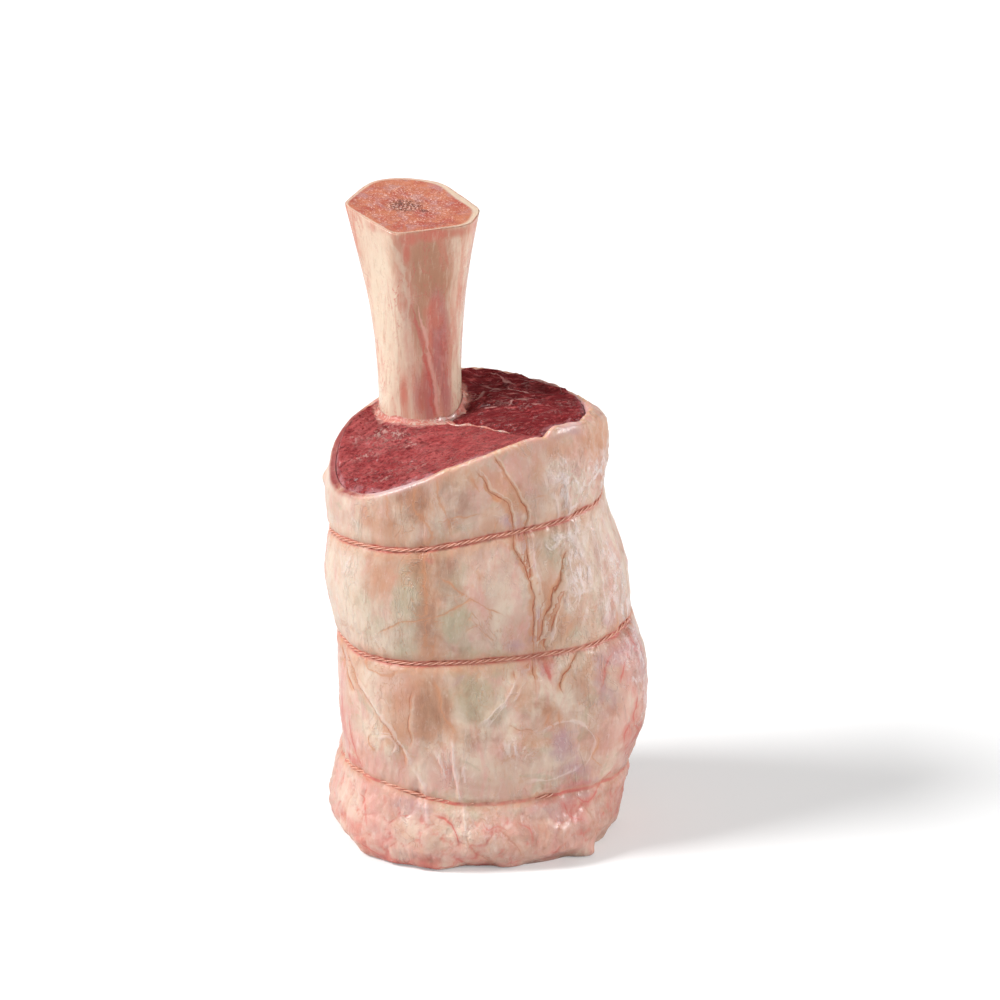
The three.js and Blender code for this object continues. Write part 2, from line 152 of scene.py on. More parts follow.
VEINS = {  # flat brown lines under the membrane: path, half width, and how dark
    "tall": (
        [(-119, 184.5), (-118.5, 172.5), (-114, 166.5), (-110, 159), (-114, 149), (-111.5, 135.8),
         (-111.5, 124.5), (-112.5, 104)],
        1.5, 0.75,
    ),
    "tall_low": ([(-112, 128), (-110, 118), (-108, 110), (-110, 100)], 2.6, 0.55),
    "cross": (
        [(-131.5, 111.8), (-122.5, 118.5), (-113, 120.8), (-102, 124.5), (-95.5, 128.2), (-89, 134.5)], 0.8, 0.85,
    ),
    "cross_low": ([(-133, 111), (-129, 114), (-126, 113)], 0.9, 0.8),
    "pink_cross": ([(-107, 141.8), (-95.5, 135), (-84, 128.2), (-75, 123)], 0.8, 0.6),
    "upper_cross": ([(-114, 166.5), (-107.5, 167.2), (-95.5, 168.8), (-84, 170)], 0.6, 0.45),
    "drip": ([(-108, 188), (-107, 178), (-103, 170), (-100, 160)], 1.2, 0.45),
    "drip_left": ([(-132, 182), (-131, 172), (-128, 162)], 1.4, 0.4),
    "ochre_a": ([(-90, 189), (-87, 183), (-84, 179)], 1.3, 0.7),
    "ochre_b": ([(-84, 184), (-79, 179), (-74, 176.5)], 1.0, 0.8),
    "ochre_c": ([(-76, 168), (-78, 162), (-80, 157)], 1.0, 0.5),
    "mid_low": ([(-108, 92), (-106, 84), (-103, 74), (-98, 66)], 1.4, 0.5),
    "smudge_a": ([(-58.5, 68.5), (-56.5, 72), (-55, 75.5)], 0.7, 0.8),
    "smudge_b": ([(-57, 66.5), (-55, 70), (-53.5, 73)], 0.6, 0.6),
    "smudge_c": ([(-53, 76), (-52, 71), (-53, 67)], 0.8, 0.6),
    "wrinkle_a": ([(-58.5, 176), (-55.5, 176.8), (-52.5, 177)], 0.7, 0.6),
    "right_low": ([(-40, 62), (-38, 56), (-40, 50), (-36, 44)], 1.0, 0.7),
    "right_edge": ([(-23, 118), (-21, 110), (-24, 104)], 1.2, 0.6),
    "left_low": ([(-136, 62), (-138, 56), (-133, 52)], 1.0, 0.5),
    "left_side": ([(-146, 100), (-140, 92), (-130, 90), (-124, 94)], 0.9, 0.45),
    "back_web": ([(150, 180), (140, 168), (128, 160), (112, 158)], 1.0, 0.6),
    "back_web_low": ([(100, 90), (92, 80), (96, 66), (86, 54)], 1.1, 0.6),
    "right_web": ([(10, 178), (18, 160), (12, 142), (22, 126)], 1.0, 0.5),
    "right_web_low": ([(8, 92), (16, 78), (10, 62), (20, 48)], 1.0, 0.6),
}
REDS = {  # bright red threads in the fat: path, half width, and how strong
    "edge_left": ([(-177, 166), (-175, 150), (-176, 136), (-172, 120), (-170, 106), (-164, 96)], 0.8, 0.7),
    "foot_left": ([(-152, 62), (-150, 54), (-146, 46), (-141, 41)], 0.7, 0.9),
    "foot_left_low": ([(-158, 44), (-150, 40), (-143, 38), (-136, 36)], 0.8, 0.8),
    "rear_oval": ([(-27.5, 96), (-31, 93), (-34, 88), (-35.5, 82)], 0.7, 0.35),
    "rear_oval_inner": ([(-22, 92), (-26, 88), (-28, 82)], 0.7, 0.6),
    "rear_line": ([(-20, 72), (-22, 62), (-19, 54), (-22, 47), (-19, 40)], 0.7, 0.7),
    "rear_fork": ([(-22, 62), (-27, 57), (-26, 51)], 0.6, 0.6),
    "rear_upper": ([(-12, 104), (-16, 98), (-13, 92), (-17, 86)], 0.7, 0.6),
    "rear_line_twin": ([(-17, 60), (-15, 50), (-16, 42), (-12, 36)], 0.7, 0.7),
    "right_foot": ([(-46, 32), (-42, 28), (-38, 30), (-33, 34), (-28, 38)], 0.8, 0.8),
    "right_foot_low": ([(-52, 30), (-50, 24), (-45, 20)], 0.7, 0.6),
    "base_left": ([(-137, 8), (-130, 4), (-122, 2), (-112, 1.5), (-102, 2.5), (-95, 4)], 1.0, 0.9),
    "base_mid": ([(-96, 8), (-92, 4), (-86, 2.5), (-80, 2)], 0.8, 0.7),
    "lobe_line": ([(-106, 27), (-101, 25), (-97, 21), (-95, 14)], 0.6, 0.6),
    "lobe_line_b": ([(-86, 25), (-83, 21), (-79, 22), (-75, 20)], 0.6, 0.3),
    "lobe_line_c": ([(-70, 24), (-66, 20), (-67, 13)], 0.6, 0.35),
    "thread_a": ([(-142, 30), (-136, 25), (-133, 17)], 0.6, 0.6),
    "below_loop_a": ([(-56.5, 102), (-55.5, 96), (-54.5, 89)], 1.1, 1.0),
    "below_loop_b": ([(-59, 101), (-58, 96), (-57, 92)], 0.9, 0.7),
    "below_loop_c": ([(-62, 104), (-61.5, 97), (-61, 93)], 0.8, 0.6),
    "side_a": ([(14, 52), (22, 42), (18, 30), (28, 20)], 0.8, 0.8),
    "side_b": ([(48, 34), (56, 26), (52, 14)], 0.8, 0.7),
    "back_a": ([(96, 40), (104, 30), (98, 18), (108, 8)], 0.8, 0.8),
    "back_b": ([(140, 38), (146, 28), (138, 16)], 0.8, 0.7),
    "back_c": ([(172, 70), (176, 58), (170, 46)], 0.7, 0.7),
}
RIDGES = {  # raised pale cords and membrane edges; the sheen and swirl ones are painted highlight streaks along raised lines: path, half width, height, how pale
    "pale_crease": (
        [(-99.5, 62), (-98.5, 56), (-97.5, 50.2), (-96, 39.8), (-95, 33), (-93, 27), (-92.5, 18)], 0.9, 1.0, 0.9,
    ),
    "pale_twin": ([(-94, 54), (-93, 46), (-92, 38)], 0.7, 0.6, 0.6),
    "side_crease": ([(-107, 58), (-103, 50), (-101, 42)], 0.8, 0.6, 0.6),
    "side_crease_low": ([(-116, 48), (-112, 40), (-110, 32), (-108, 22)], 0.8, 0.6, 0.5),
    "tendon": ([(-68, 93), (-70.5, 88.5), (-74.5, 81.8), (-81, 75), (-86, 69)], 1.0, 0.6, 0.5),
    "tendon_twin": ([(-71, 84), (-77, 76), (-84, 68)], 0.8, 0.5, 0.5),
    "tendon_last": ([(-66, 90), (-69, 84), (-74, 78)], 0.7, 0.5, 0.4),
    "fold_lip": ([(-46, 143), (-48, 136), (-50.5, 128), (-52, 121), (-52, 113), (-53, 108)], 0.9, 0.8, 0.75),
    "fold_lip_low": ([(-55, 122), (-56, 116), (-55.5, 110)], 0.7, 0.6, 0.6),
    "long_lip": ([(-60, 165), (-59.5, 152), (-59, 141), (-58.2, 130)], 0.8, 0.7, 0.6),
    "long_lip_low": ([(-66, 155), (-63, 147), (-60.5, 142)], 0.7, 0.6, 0.6),
    "sheen_a": ([(-44, 190), (-42.5, 178.5), (-41, 168), (-42, 160)], 1.3, 0.7, 0.9),
    "sheen_b": ([(-40.5, 158), (-38, 149), (-35.5, 139.5), (-36, 130)], 1.5, 0.7, 0.9),
    "sheen_c": ([(-30, 160), (-28, 148), (-29, 132), (-28, 118)], 1.0, 0.6, 0.6),
    "sheen_d": ([(-50, 180), (-47, 172), (-46, 162)], 1.0, 0.5, 0.6),
    "sheen_e": ([(-22, 150), (-20, 138), (-21, 124)], 1.2, 0.6, 0.6),
    "swirl_c": ([(-46, 196), (-42, 190), (-43, 184)], 0.9, 0.6, 0.7),
    "swirl_d": ([(-20, 192), (-17, 184), (-19, 174)], 1.1, 0.8, 0.7),
    "left_band": ([(-146, 86), (-138, 78), (-130, 69), (-122, 59), (-117, 48)], 1.4, 0.6, 0.6),
    "membrane_a": ([(-60, 66), (-54, 70), (-46, 69), (-41, 62), (-40, 52), (-44, 45)], 0.8, 0.4, 0.4),
    "membrane_c": ([(-66, 42), (-58, 42), (-50, 44), (-44, 47)], 0.8, 0.25, 0.4),
    "membrane_e": ([(-133, 60), (-128, 62), (-124, 58), (-126, 52)], 0.7, 0.4, 0.6),
    "back_cord": ([(104, 184), (100, 172), (102, 162)], 1.0, 0.8, 0.7),
    "back_cord_low": ([(72, 92), (80, 82), (84, 70), (94, 62)], 1.0, 0.8, 0.7),
    "back_cord_side": ([(150, 88), (154, 74), (148, 60)], 1.0, 0.7, 0.7),
    "back_sheen": ([(52, 150), (48, 138), (50, 124)], 1.2, 0.7, 0.8),
    "right_sheen": ([(4, 150), (6, 136), (3, 122)], 1.2, 0.7, 0.8),
}
BULGES = (  # rounded swellings: degrees, height, half width in degrees, half height in mm, rise
    (-100, 16.5, 17, 11, 2.2), (-76, 15.5, 26, 9, 1.8), (-87, 17.5, 6, 5, 1.2), (-55, 14, 14, 9, 1.4),
    (-122, 22, 14, 12, 1.2), (-143, 18, 14, 14, 1.2), (-170, 20, 14, 14, 1.2), (-16, 76, 18, 27, 2.0),
    (-18, 40, 12, 10, -1.6), (-30, 186, 10, 14, 1.2), (-12, 190, 13, 14, 0.5), (8, 186, 12, 15, 0.3),
    (-175, 162, 10, 10, 1.4), (-95, 125, 22, 18, 0.9), (-128, 130, 16, 20, 0.8), (-48, 128, 9, 16, 1.0),
    (-68, 176, 8, 14, 1.0), (-112, 72, 7, 15, 0.8), (-60, 60, 12, 13, 0.8), (-130, 60, 10, 16, 0.8),
    (-36, 14, 9, 8, 2.0), (30, 20, 20, 12, 1.8), (70, 16, 22, 11, 2.0), (112, 20, 20, 12, 1.8),
    (150, 18, 18, 12, 1.8), (40, 128, 24, 20, 1.2), (95, 130, 22, 18, 1.2), (140, 128, 20, 20, 1.0),
    (60, 70, 22, 20, 1.2), (110, 68, 20, 18, 1.0), (155, 72, 18, 18, 1.2), (75, 182, 18, 14, 1.2),
    (125, 180, 18, 14, 1.0), (28, 212, 26, 14, -2.2), (158, 192, 16, 12, -1.8), (-172, 44, 16, 8, -1.4),
    (-2, 168, 16, 16, -0.8),
)
TINTS = {  # soft patches of colour on the skin: degrees, height, half width, half height, amount
    "pink": (
        (-140, 24, 30, 22, 0.95), (-100, 10, 30, 9, 0.85), (-60, 14, 34, 14, 0.9), (-16, 78, 13, 24, 1.0),
        (-16, 30, 20, 26, 1.0), (-95, 175, 16, 9, 0.5), (-80, 150, 10, 12, 0.35), (-50, 192, 9, 12, 0.9),
        (-30, 188, 18, 20, 0.9), (-84, 126, 9, 16, 0.35), (-132, 172, 10, 8, 0.5), (-164, 66, 12, 30, 0.95),
        (-100, 50, 12, 12, 0.6), (-22, 140, 10, 26, 0.5), (-76, 186, 8, 10, 0.6), (-180, 90, 10, 60, 0.8),
        (-70, 140, 7, 26, 0.35), (-126, 84, 10, 12, 0.6), (-142, 52, 12, 10, 0.7), (-66, 112, 8, 16, 0.4),
        (-30, 60, 12, 14, 0.9), (-48, 24, 12, 10, 0.9), (-128, 48, 14, 8, 0.6), (-62, 186, 8, 12, 0.6),
        (-178, 160, 8, 20, 0.7), (-84, 58, 10, 8, 0.5), (-104, 190, 14, 5, 0.5), (-121, 176, 7, 7, 0.8),
        (25, 60, 22, 50, 0.8), (70, 30, 40, 22, 0.9), (130, 24, 34, 20, 0.9), (90, 120, 16, 30, 0.6),
        (150, 150, 18, 26, 0.6), (40, 180, 26, 18, 0.7), (110, 186, 16, 12, 0.6), (172, 40, 16, 26, 0.9),
    ),
    "tan": (
        (-131, 138, 9, 13, 0.6), (-140.5, 167, 9, 11, 0.7), (-120, 172, 11, 10, 0.85), (-108, 77, 10, 17, 1.0),
        (-124, 72, 8, 18, 0.7), (-61.5, 63, 7, 3.5, 0.9), (-56, 78, 4, 5, 0.7), (-54, 70, 4, 7, 0.6),
        (-84, 190, 6, 5, 0.4), (-22, 197, 20, 10, 1.0), (-46, 199, 9, 8, 0.7), (-76, 186, 4, 8, 0.6),
        (-66, 176, 4, 9, 0.7), (-62, 108, 5, 8, 0.7), (-40, 128, 8, 20, 0.5), (-56, 190, 3, 9, 0.6),
        (-96, 186, 12, 6, 0.7), (-65, 84, 8, 9, 0.7), (-52, 118, 6, 14, 0.95), (-33, 202, 11, 5, 0.4),
        (-55, 130, 5, 20, 0.7), (-110, 124, 6, 22, 0.8), (-112, 150, 10, 8, 0.7), (-44, 88, 6, 10, 0.4),
        (-96, 152, 10, 8, 0.45), (-112, 104, 8, 10, 0.8), (-118, 88, 7, 8, 0.7), (-90, 96, 14, 4, 0.5),
        (-126, 160, 8, 12, 0.7), (-70, 176, 5, 10, 0.7), (-80, 165, 8, 8, 0.6), (-99, 66, 9, 8, 0.7),
        (-46, 170, 5, 12, 0.5), (-36, 112, 6, 16, 0.5), (-70, 68, 8, 8, 0.3), (-150, 88, 8, 10, 0.6),
        (60, 110, 12, 22, 0.8), (104, 76, 12, 18, 0.8), (146, 112, 12, 16, 0.8), (20, 110, 10, 18, 0.7),
        (84, 170, 14, 12, 0.7), (130, 66, 10, 14, 0.7), (36, 150, 10, 14, 0.6), (170, 176, 10, 10, 0.7),
    ),
    "green": (
        (-119, 130, 7, 20, 0.9), (-99, 118, 10, 12, 1.0), (-92, 84, 12, 12, 1.0), (-124, 106, 8, 8, 0.8),
        (-50, 150, 6, 14, 0.6), (-104, 158, 7, 8, 0.5), (-80, 82, 7, 10, 0.6), (-50, 112, 9, 10, 0.6),
        (-115, 140, 6, 10, 0.8), (-138, 120, 9, 14, 0.5), (-90, 106, 10, 8, 0.7), (-100, 138, 8, 8, 0.6),
        (-76, 100, 8, 8, 0.6), (80, 140, 14, 16, 0.8), (120, 88, 12, 16, 0.8), (35, 138, 10, 16, 0.6),
        (156, 130, 9, 14, 0.7),
    ),
    "lilac": (
        (-52, 59, 7, 9, 1.0), (-56, 29, 14, 7, 0.45), (-35, 82, 3.5, 13, 1.0), (-29, 97, 8, 5, 1.0),
        (-13, 92, 6, 14, 0.8), (-60, 98, 7, 6, 1.0), (-68, 163, 7, 5, 0.9), (-48, 45, 9, 6, 0.8),
        (-118, 30, 8, 6, 0.6), (-20, 100, 8, 6, 0.9), (-39, 206, 8, 3, 0.7), (-63, 118, 3, 14, 0.8),
        (-62, 150, 4, 8, 0.6), (-44, 33, 10, 6, 0.9), (-70, 106, 5, 5, 0.6), (-102, 90, 9, 5, 0.35),
        (-24, 110, 5, 10, 0.5), (150, 60, 12, 14, 0.7), (86, 104, 12, 6, 0.8), (50, 40, 14, 8, 0.8),
        (118, 150, 8, 10, 0.6),
    ),
    "red": (
        (-118, 1.5, 30, 4.5, 1.0), (-150, 41, 12, 3, 0.8), (-160, 60, 5, 18, 0.7), (-4, 36, 7, 12, 1.0),
        (-8, 16, 12, 8, 0.9), (-86, 6, 8, 5, 0.6), (-172, 95, 6, 12, 0.7), (-172, 6, 30, 4, 0.7),
        (-146, 12, 20, 4, 0.7), (-60, 3, 20, 3, 0.5), (-150, 28, 4, 4, 0.6), (-136, 10, 6, 3, 0.6),
        (-18, 56, 8, 12, 0.6), (-24, 98, 6, 5, 0.6), (-154, 50, 5, 6, 0.7), (-57, 32, 7, 4, 0.6),
        (-12, 96, 8, 10, 0.6), (-46, 26, 6, 5, 0.6), (-57, 100, 6, 4, 0.9), (-66, 159, 5, 3, 0.8),
        (-110, 152, 4, 2.5, 0.6), (-14, 66, 12, 24, 0.45), (-28, 22, 12, 14, 0.4), (-20, 50, 8, 10, 0.6),
        (-47, 34, 8, 6, 0.6), (-163, 91, 3.5, 7, 1.0), (20, 8, 26, 6, 0.8), (80, 6, 40, 5, 0.8),
        (140, 6, 30, 5, 0.8), (60, 38, 20, 4, 0.7), (24, 44, 8, 10, 0.7), (110, 36, 12, 5, 0.6),
        (160, 30, 8, 8, 0.6),
    ),
    "shade": (
        (-98, 176, 10, 11, 0.8), (-120, 176, 9, 11, 1.0), (-109, 78, 12, 17, 0.9), (-92, 82, 13, 12, 0.3),
        (-102, 142, 8, 17, 0.75), (-113, 150, 6, 14, 0.7), (-111, 122, 7, 18, 0.7), (-88, 62, 14, 8, 0.4),
        (-44, 82, 7, 14, 0.5), (-61, 108, 5, 12, 0.6), (-62, 160, 4, 14, 0.35), (-70, 56, 14, 6, 0.3),
        (-46, 40, 12, 12, 0.6), (-36, 62, 10, 14, 0.4), (-58, 112, 8, 14, 0.5), (-76, 12, 18, 8, 0.35),
        (-100, 14, 10, 8, 0.35), (-30, 22, 15, 16, 0.5), (-52, 18, 13, 11, 0.45), (-112, 9, 14, 6, 0.2),
        (-88, 22, 5, 6, 0.5), (-66, 20, 5, 8, 0.4), (-16, 70, 10, 26, 0.35), (-140, 10, 16, 8, 0.3),
        (-60, 76, 9, 9, 0.5), (-128, 172, 6, 12, 0.5), (-99, 104, 14, 6, 0.4), (-66, 176, 6, 16, 0.3),
        (70, 100, 16, 14, 0.5), (130, 150, 12, 14, 0.4), (100, 60, 14, 12, 0.5), (20, 130, 12, 20, 0.4),
    ),
    "veil": ((-130, 184, 16, 12, 1.0), (-38, 206, 10, 6, 0.7)),  # on the rim only, like the next
    "raw": ((-172, 178, 24, 30, 1.0), (168, 188, 22, 26, 0.9), (70, 212, 30, 20, 0.6)),
    "shine": (
        (-36, 179, 15, 15, 1.0), (-14, 177, 16, 15, 0.9), (-40, 150, 8, 30, 0.8), (-25, 140, 10, 26, 0.7),
        (-46, 165, 6, 22, 0.8), (-14, 92, 10, 32, 0.9), (-20, 124, 9, 22, 0.8), (-150, 150, 6, 20, 0.4),
        (-66, 60, 12, 10, 0.4), (-14, 60, 8, 30, 0.5), (-90, 24, 30, 12, 0.35), (-50, 96, 8, 8, 0.5),
        (20, 150, 10, 30, 0.8), (90, 90, 14, 24, 0.6), (140, 160, 12, 22, 0.7), (60, 176, 16, 14, 0.7),
    ),
    # Pale cream patches: partly the fat's own colour, partly painted light down the left side and painted highlights
    # on the right lobe.
    "bright": (
        (-50, 188, 8, 10, 0.6), (-52, 172, 5, 12, 0.5), (-26, 160, 8, 24, 0.9), (-33, 142, 7, 20, 0.9),
        (-172, 134, 14, 50, 0.8), (-92, 145, 8, 12, 0.4), (-28, 170, 9, 12, 0.8), (-42, 176, 6, 10, 0.6),
        (-148, 24, 12, 12, 0.5), (-90, 112, 10, 12, 0.4), (-76, 132, 8, 14, 0.5), (-40, 134, 10, 26, 0.8),
        (-36, 182, 12, 12, 0.8), (-56, 53, 7, 6, 0.7), (-104, 14, 12, 8, 0.5), (-76, 12, 16, 7, 0.4),
        (-150, 130, 10, 26, 0.8), (-110, 50, 8, 8, 0.6), (-136, 88, 12, 12, 0.7), (-120, 118, 9, 9, 0.5),
        (-148, 150, 12, 14, 0.8), (-142, 108, 9, 10, 0.7), (-126, 186, 14, 5, 0.5), (-36, 156, 5, 12, 0.7),
        (-90, 170, 12, 8, 0.4), (100, 150, 14, 18, 0.6), (60, 90, 14, 14, 0.6), (140, 40, 16, 12, 0.6),
        (20, 150, 12, 26, 0.6),
    ),
}
BONE_TINTS = {  # the same on the bone: degrees round it, height, half width, half height, amount
    "cream": (
        # Bone cream; the patch low at the right, by the meat, is partly painted light where shade falls.
        (-142, 238, 34, 66, 1.0), (-165, 205, 40, 30, 0.9), (-104, 225, 9, 40, 0.7), (-22, 206, 20, 16, 0.9),
        (-116, 250, 10, 30, 0.7), (-36, 258, 7, 14, 0.6), (-20, 222, 8, 30, 0.5), (120, 240, 34, 50, 0.8),
        (60, 215, 24, 26, 0.6), (-125, 200, 12, 10, 0.9),
    ),
    "tan": (
        (-73, 266, 26, 24, 1.0), (-60, 284, 44, 4, 0.7), (-52, 262, 14, 20, 0.8), (10, 262, 26, 20, 0.6),
        (170, 270, 22, 16, 0.5), (-84, 244, 12, 20, 0.9), (-112, 276, 10, 10, 0.5), (-48, 240, 12, 26, 0.5),
    ),
    "purple": (
        (-58, 228, 18, 22, 0.9), (-74, 208, 18, 18, 0.85), (-48, 206, 12, 18, 0.75), (-60, 248, 12, 10, 0.6),
        (-90, 207, 12, 12, 0.7), (30, 226, 18, 20, 0.6), (-100, 232, 8, 30, 0.35),
    ),
    "red": (
        (-84, 210, 10, 16, 0.5), (-70, 232, 6, 14, 0.6), (-62, 241, 14, 4, 0.7), (-50, 226, 5, 14, 0.5),
        (-93, 282.5, 12, 3.5, 1.0), (-62, 283.5, 34, 2.8, 1.0), (-97, 276, 5, 6, 0.9), (-130, 286, 20, 3, 0.5),
        (-178, 276, 12, 12, 0.6), (-112, 206, 7, 8, 0.75), (-104, 228, 6, 12, 0.5), (-70, 246, 14, 4, 0.6),
        (-62, 250, 8, 4, 0.5), (-10, 284, 20, 4, 0.5), (-97, 262, 4, 14, 0.4), (80, 284, 40, 4, 0.5),
        (100, 206, 10, 12, 0.6), (-8, 200, 12, 8, 0.5),
    ),
}
SINEWS = (  # pale threads on the back muscle's cut face, as (right, back) in mm
    [(-9, 22), (1, 25.5), (10, 25), (19.4, 23.3), (26, 21)],
    [(-4.2, 12.8), (0.3, 8.8), (7.9, 10.8), (13.3, 14.6), (22.4, 15.5), (30, 13)],
    [(-2.7, 34.5), (4, 30), (10.3, 27.7), (15.6, 25.8), (24, 27)],
    [(2, 18), (9, 17), (15, 18.5), (23, 18)],
    [(13.3, 14.6), (17, 8), (24, 4), (31, 3)],
    [(-6, 42), (3, 40), (12, 36), (22, 35)],
)
FAT_FLECKS = (  # white flecks on the front muscle: right, back, half sizes, amount
    (-49, 5, 5, 3, 1.0), (-43, 0, 6, 3, 0.9), (-37, -2, 4, 3, 0.9), (-35, -9, 3, 2, 0.7), (-54, -8, 8, 2, 0.5),
    (-30, -30, 6, 2, 0.5), (-60, 6, 3, 3, 0.5), (-47, -30, 7, 2, 0.5),
)

# ------------------------------------------------------------------ curves and noise


def along(table, height, column):
    """A column of a table at a height, on a smooth curve through its rows."""
    height = np.asarray(height, float)
    stations, values = table[:, 0], table[:, column]
    last = len(stations) - 1
    i = np.clip(np.searchsorted(stations, height) - 1, 0, last - 1)

    def slope(k):
        low, high = np.maximum(k - 1, 0), np.minimum(k + 1, last)
        return (values[high] - values[low]) / (stations[high] - stations[low])

    span = stations[i + 1] - stations[i]
    t = np.clip((height - stations[i]) / span, 0, 1)
    from_here = (2 * t**3 - 3 * t**2 + 1) * values[i] + (t**3 - 2 * t**2 + t) * span * slope(i)
    return from_here + (3 * t**2 - 2 * t**3) * values[i + 1] + (t**3 - t**2) * span * slope(i + 1)


def bell(distance, width):
    return np.exp(-((distance / width) ** 2))


def smooth_step(value, low, high):
    t = np.clip((value - low) / (high - low), 0, 1)
    return t * t * (3 - 2 * t)


def turn(degrees, centre):
    """How far round from the centre, the short way, in degrees."""
    return (degrees - centre + 180) % 360 - 180


def grain(points, size, octaves=3, stretch=(1, 1, 1), shift=0.0):
    """Soft noise at points in mm, about -1 to 1, with features of that size."""
    scaled = points / (size * np.array(stretch)) + shift
    return np.array([noise.fractal(Vector(p), 1.0, 2.0, octaves) for p in scaled.tolist()])


def ridged(points, size, octaves=3, stretch=(1, 1, 1), shift=0.0):
    """Noise with sharp crests, 0 to 1."""
    return 1 - np.minimum(1, 2.2 * np.abs(grain(points, size, octaves, stretch, shift)))


def lumps(points, size, shift=0.0):
    """Rounded lumps: 0 in the valleys between them and 1 on their tops."""
    heights = []
    for point in (points / size + shift).tolist():
        distances = noise.voronoi(Vector(point))[0]
        heights.append(min(1.0, (distances[1] - distances[0]) / 0.5))
    return np.sqrt(np.array(heights))


# ------------------------------------------------------------------ the shank's own surfaces


def cut_height(x, y):
    slope = CUT["right"] * x + CUT["back"] * y
    dents = sum(rise * bell(np.hypot(x - right, y - back), reach) for right, back, reach, rise in CUT_DENTS)
    return CUT["height"] + slope + CUT["twist"] * x * y + CUT["bow_x"] * x * x + CUT["bow_y"] * y * y + dents


def loop_height(name, angle):
    height, right, back, wave, _ = LOOPS[name]
    centre, wide, rise = LOOP_LIFT.get(name, (0, 1, 0))
    lift = rise * bell(turn(np.degrees(angle), centre), wide)
    return height + right * np.cos(angle) + back * np.sin(angle) + wave * np.cos(4 * angle) + lift


def roll_share(angle):
    """How much of the thick roll of fat there is at an angle, 0 to 1."""
    return bell(turn(np.degrees(angle), COVER["roll_angle"]), COVER["roll_spread"])


def cover_thickness(angle):
    return COVER["thickness"] + COVER["roll"] * roll_share(angle)


def section_radius(angle, z):
    """The meat's outside before the twine pulls it in."""
    c, s = np.cos(angle), np.sin(angle)
    height = np.maximum(z, MEAT_SECTIONS[0, 0])
    reach_x = np.where(c > 0, along(MEAT_SECTIONS, height, 2), along(MEAT_SECTIONS, height, 1))
    reach_y = np.where(s > 0, along(MEAT_SECTIONS, height, 4), along(MEAT_SECTIONS, height, 3))
    n = SQUARENESS["front"] + (s + 1) / 2 * (SQUARENESS["back"] - SQUARENESS["front"])
    across, deep = np.abs(reach_x - MEAT_AXIS[0]), np.abs(reach_y - MEAT_AXIS[1])
    radius = ((np.abs(c) / across) ** n + (np.abs(s) / deep) ** n) ** (-1 / n)
    curl = np.clip(1 - z / BASE_ROUNDING["height"], 0, 1)
    return radius - BASE_ROUNDING["inset"] * (1 - np.sqrt(1 - curl**2))


def tied_radius(angle, z):
    radius = section_radius(angle, z)
    for name, loop in LOOPS.items():
        off = z - loop_height(name, angle)
        radius = radius - (loop[4] - PINCH) * bell(off, GROOVE_WIDTH) - PINCH * bell(off, PINCH_WIDTH)
    return radius


def round_axis(angle, radius, z):
    return np.stack([MEAT_AXIS[0] + radius * np.cos(angle), MEAT_AXIS[1] + radius * np.sin(angle), z + 0 * radius], -1)


def ring_places(angle, radius, height):
    """Places on a plain ring, for noise that runs round a piece without a join."""
    return np.stack([radius * np.cos(angle), radius * np.sin(angle), height], -1)


def rim_height(angle):
    z = np.full(np.shape(angle), CUT["height"])
    for _ in range(12):
        edge = round_axis(angle, tied_radius(angle, z), z)
        z = cut_height(edge[..., 0], edge[..., 1])
    return z


def rounded_radius(angle, z):
    """The tied outside with its upper edge rounded over towards the cut."""
    radius = tied_radius(angle, z)
    square = round_axis(angle, radius, z)
    rolled = roll_share(angle)
    depth = RIM_ROUNDING["height"] * (0.35 + 0.65 * rolled)
    curl = np.clip(1 - (cut_height(square[..., 0], square[..., 1]) - z) / depth, 0, 1)
    share = RIM_ROUNDING["share"] * (0.45 + 0.55 * rolled)
    return radius - share * cover_thickness(angle) * (1 - np.sqrt(1 - curl**2))


def inner_radius(angle, z):
    """The cover's inner wall, against the muscles."""
    lean = 2 / 3 * BASE_ROUNDING["inset"] * np.clip(1 - z / BASE_ROUNDING["height"], 0, 1)
    return section_radius(angle, np.maximum(z, BASE_ROUNDING["height"])) - lean - PINCH - cover_thickness(angle)


RIM_ANGLES = np.linspace(-math.pi, math.pi, 721)
RIM_HEIGHTS = rim_height(RIM_ANGLES)
RIM_THINNING = {"share": 0.62, "depth": 9.0}


def below_rim(angle, z):
    """How far below the rim a height is."""
    plain = np.arctan2(np.sin(angle), np.cos(angle))
    return np.interp(plain, RIM_ANGLES, RIM_HEIGHTS) - z


def wall_radius(angle, z):
    """The inner wall as the skin shows it: thinner towards the cut, apart from the roll at the right."""
    near_rim = 1 - smooth_step(below_rim(angle, z), 0, RIM_THINNING["depth"])
    thinning = RIM_THINNING["share"] * (1 - 0.85 * roll_share(angle)) * near_rim
    return inner_radius(angle, z) + thinning * cover_thickness(angle)


def bone_radius(angle, z):
    share = np.clip((z - BONE["flare_start"]) / (BONE["top"] - BONE["flare_start"]), 0, 1.1)
    flare = share ** BONE["flare_power"]
    sharp = BONE_SHARPNESS["shaft"] + np.minimum(flare, 1) * (BONE_SHARPNESS["sawn"] - BONE_SHARPNESS["shaft"])
    total = 0
    for face, sawn, shaft in BONE_FACES:
        distance = shaft + (sawn - shaft) * flare
        total = total + np.maximum(0, np.cos(angle - math.radians(face)) / distance) ** sharp
    evening = 1.12 - 0.12 * (sharp - BONE_SHARPNESS["shaft"]) / (BONE_SHARPNESS["sawn"] - BONE_SHARPNESS["shaft"])
    return total ** (-1 / sharp) * evening + BONE_FOOT["swell"] * bell(z, BONE_FOOT["height"])


def bone_middle(z):
    return along(BONE_AXIS, z, 1), along(BONE_AXIS, z, 2)


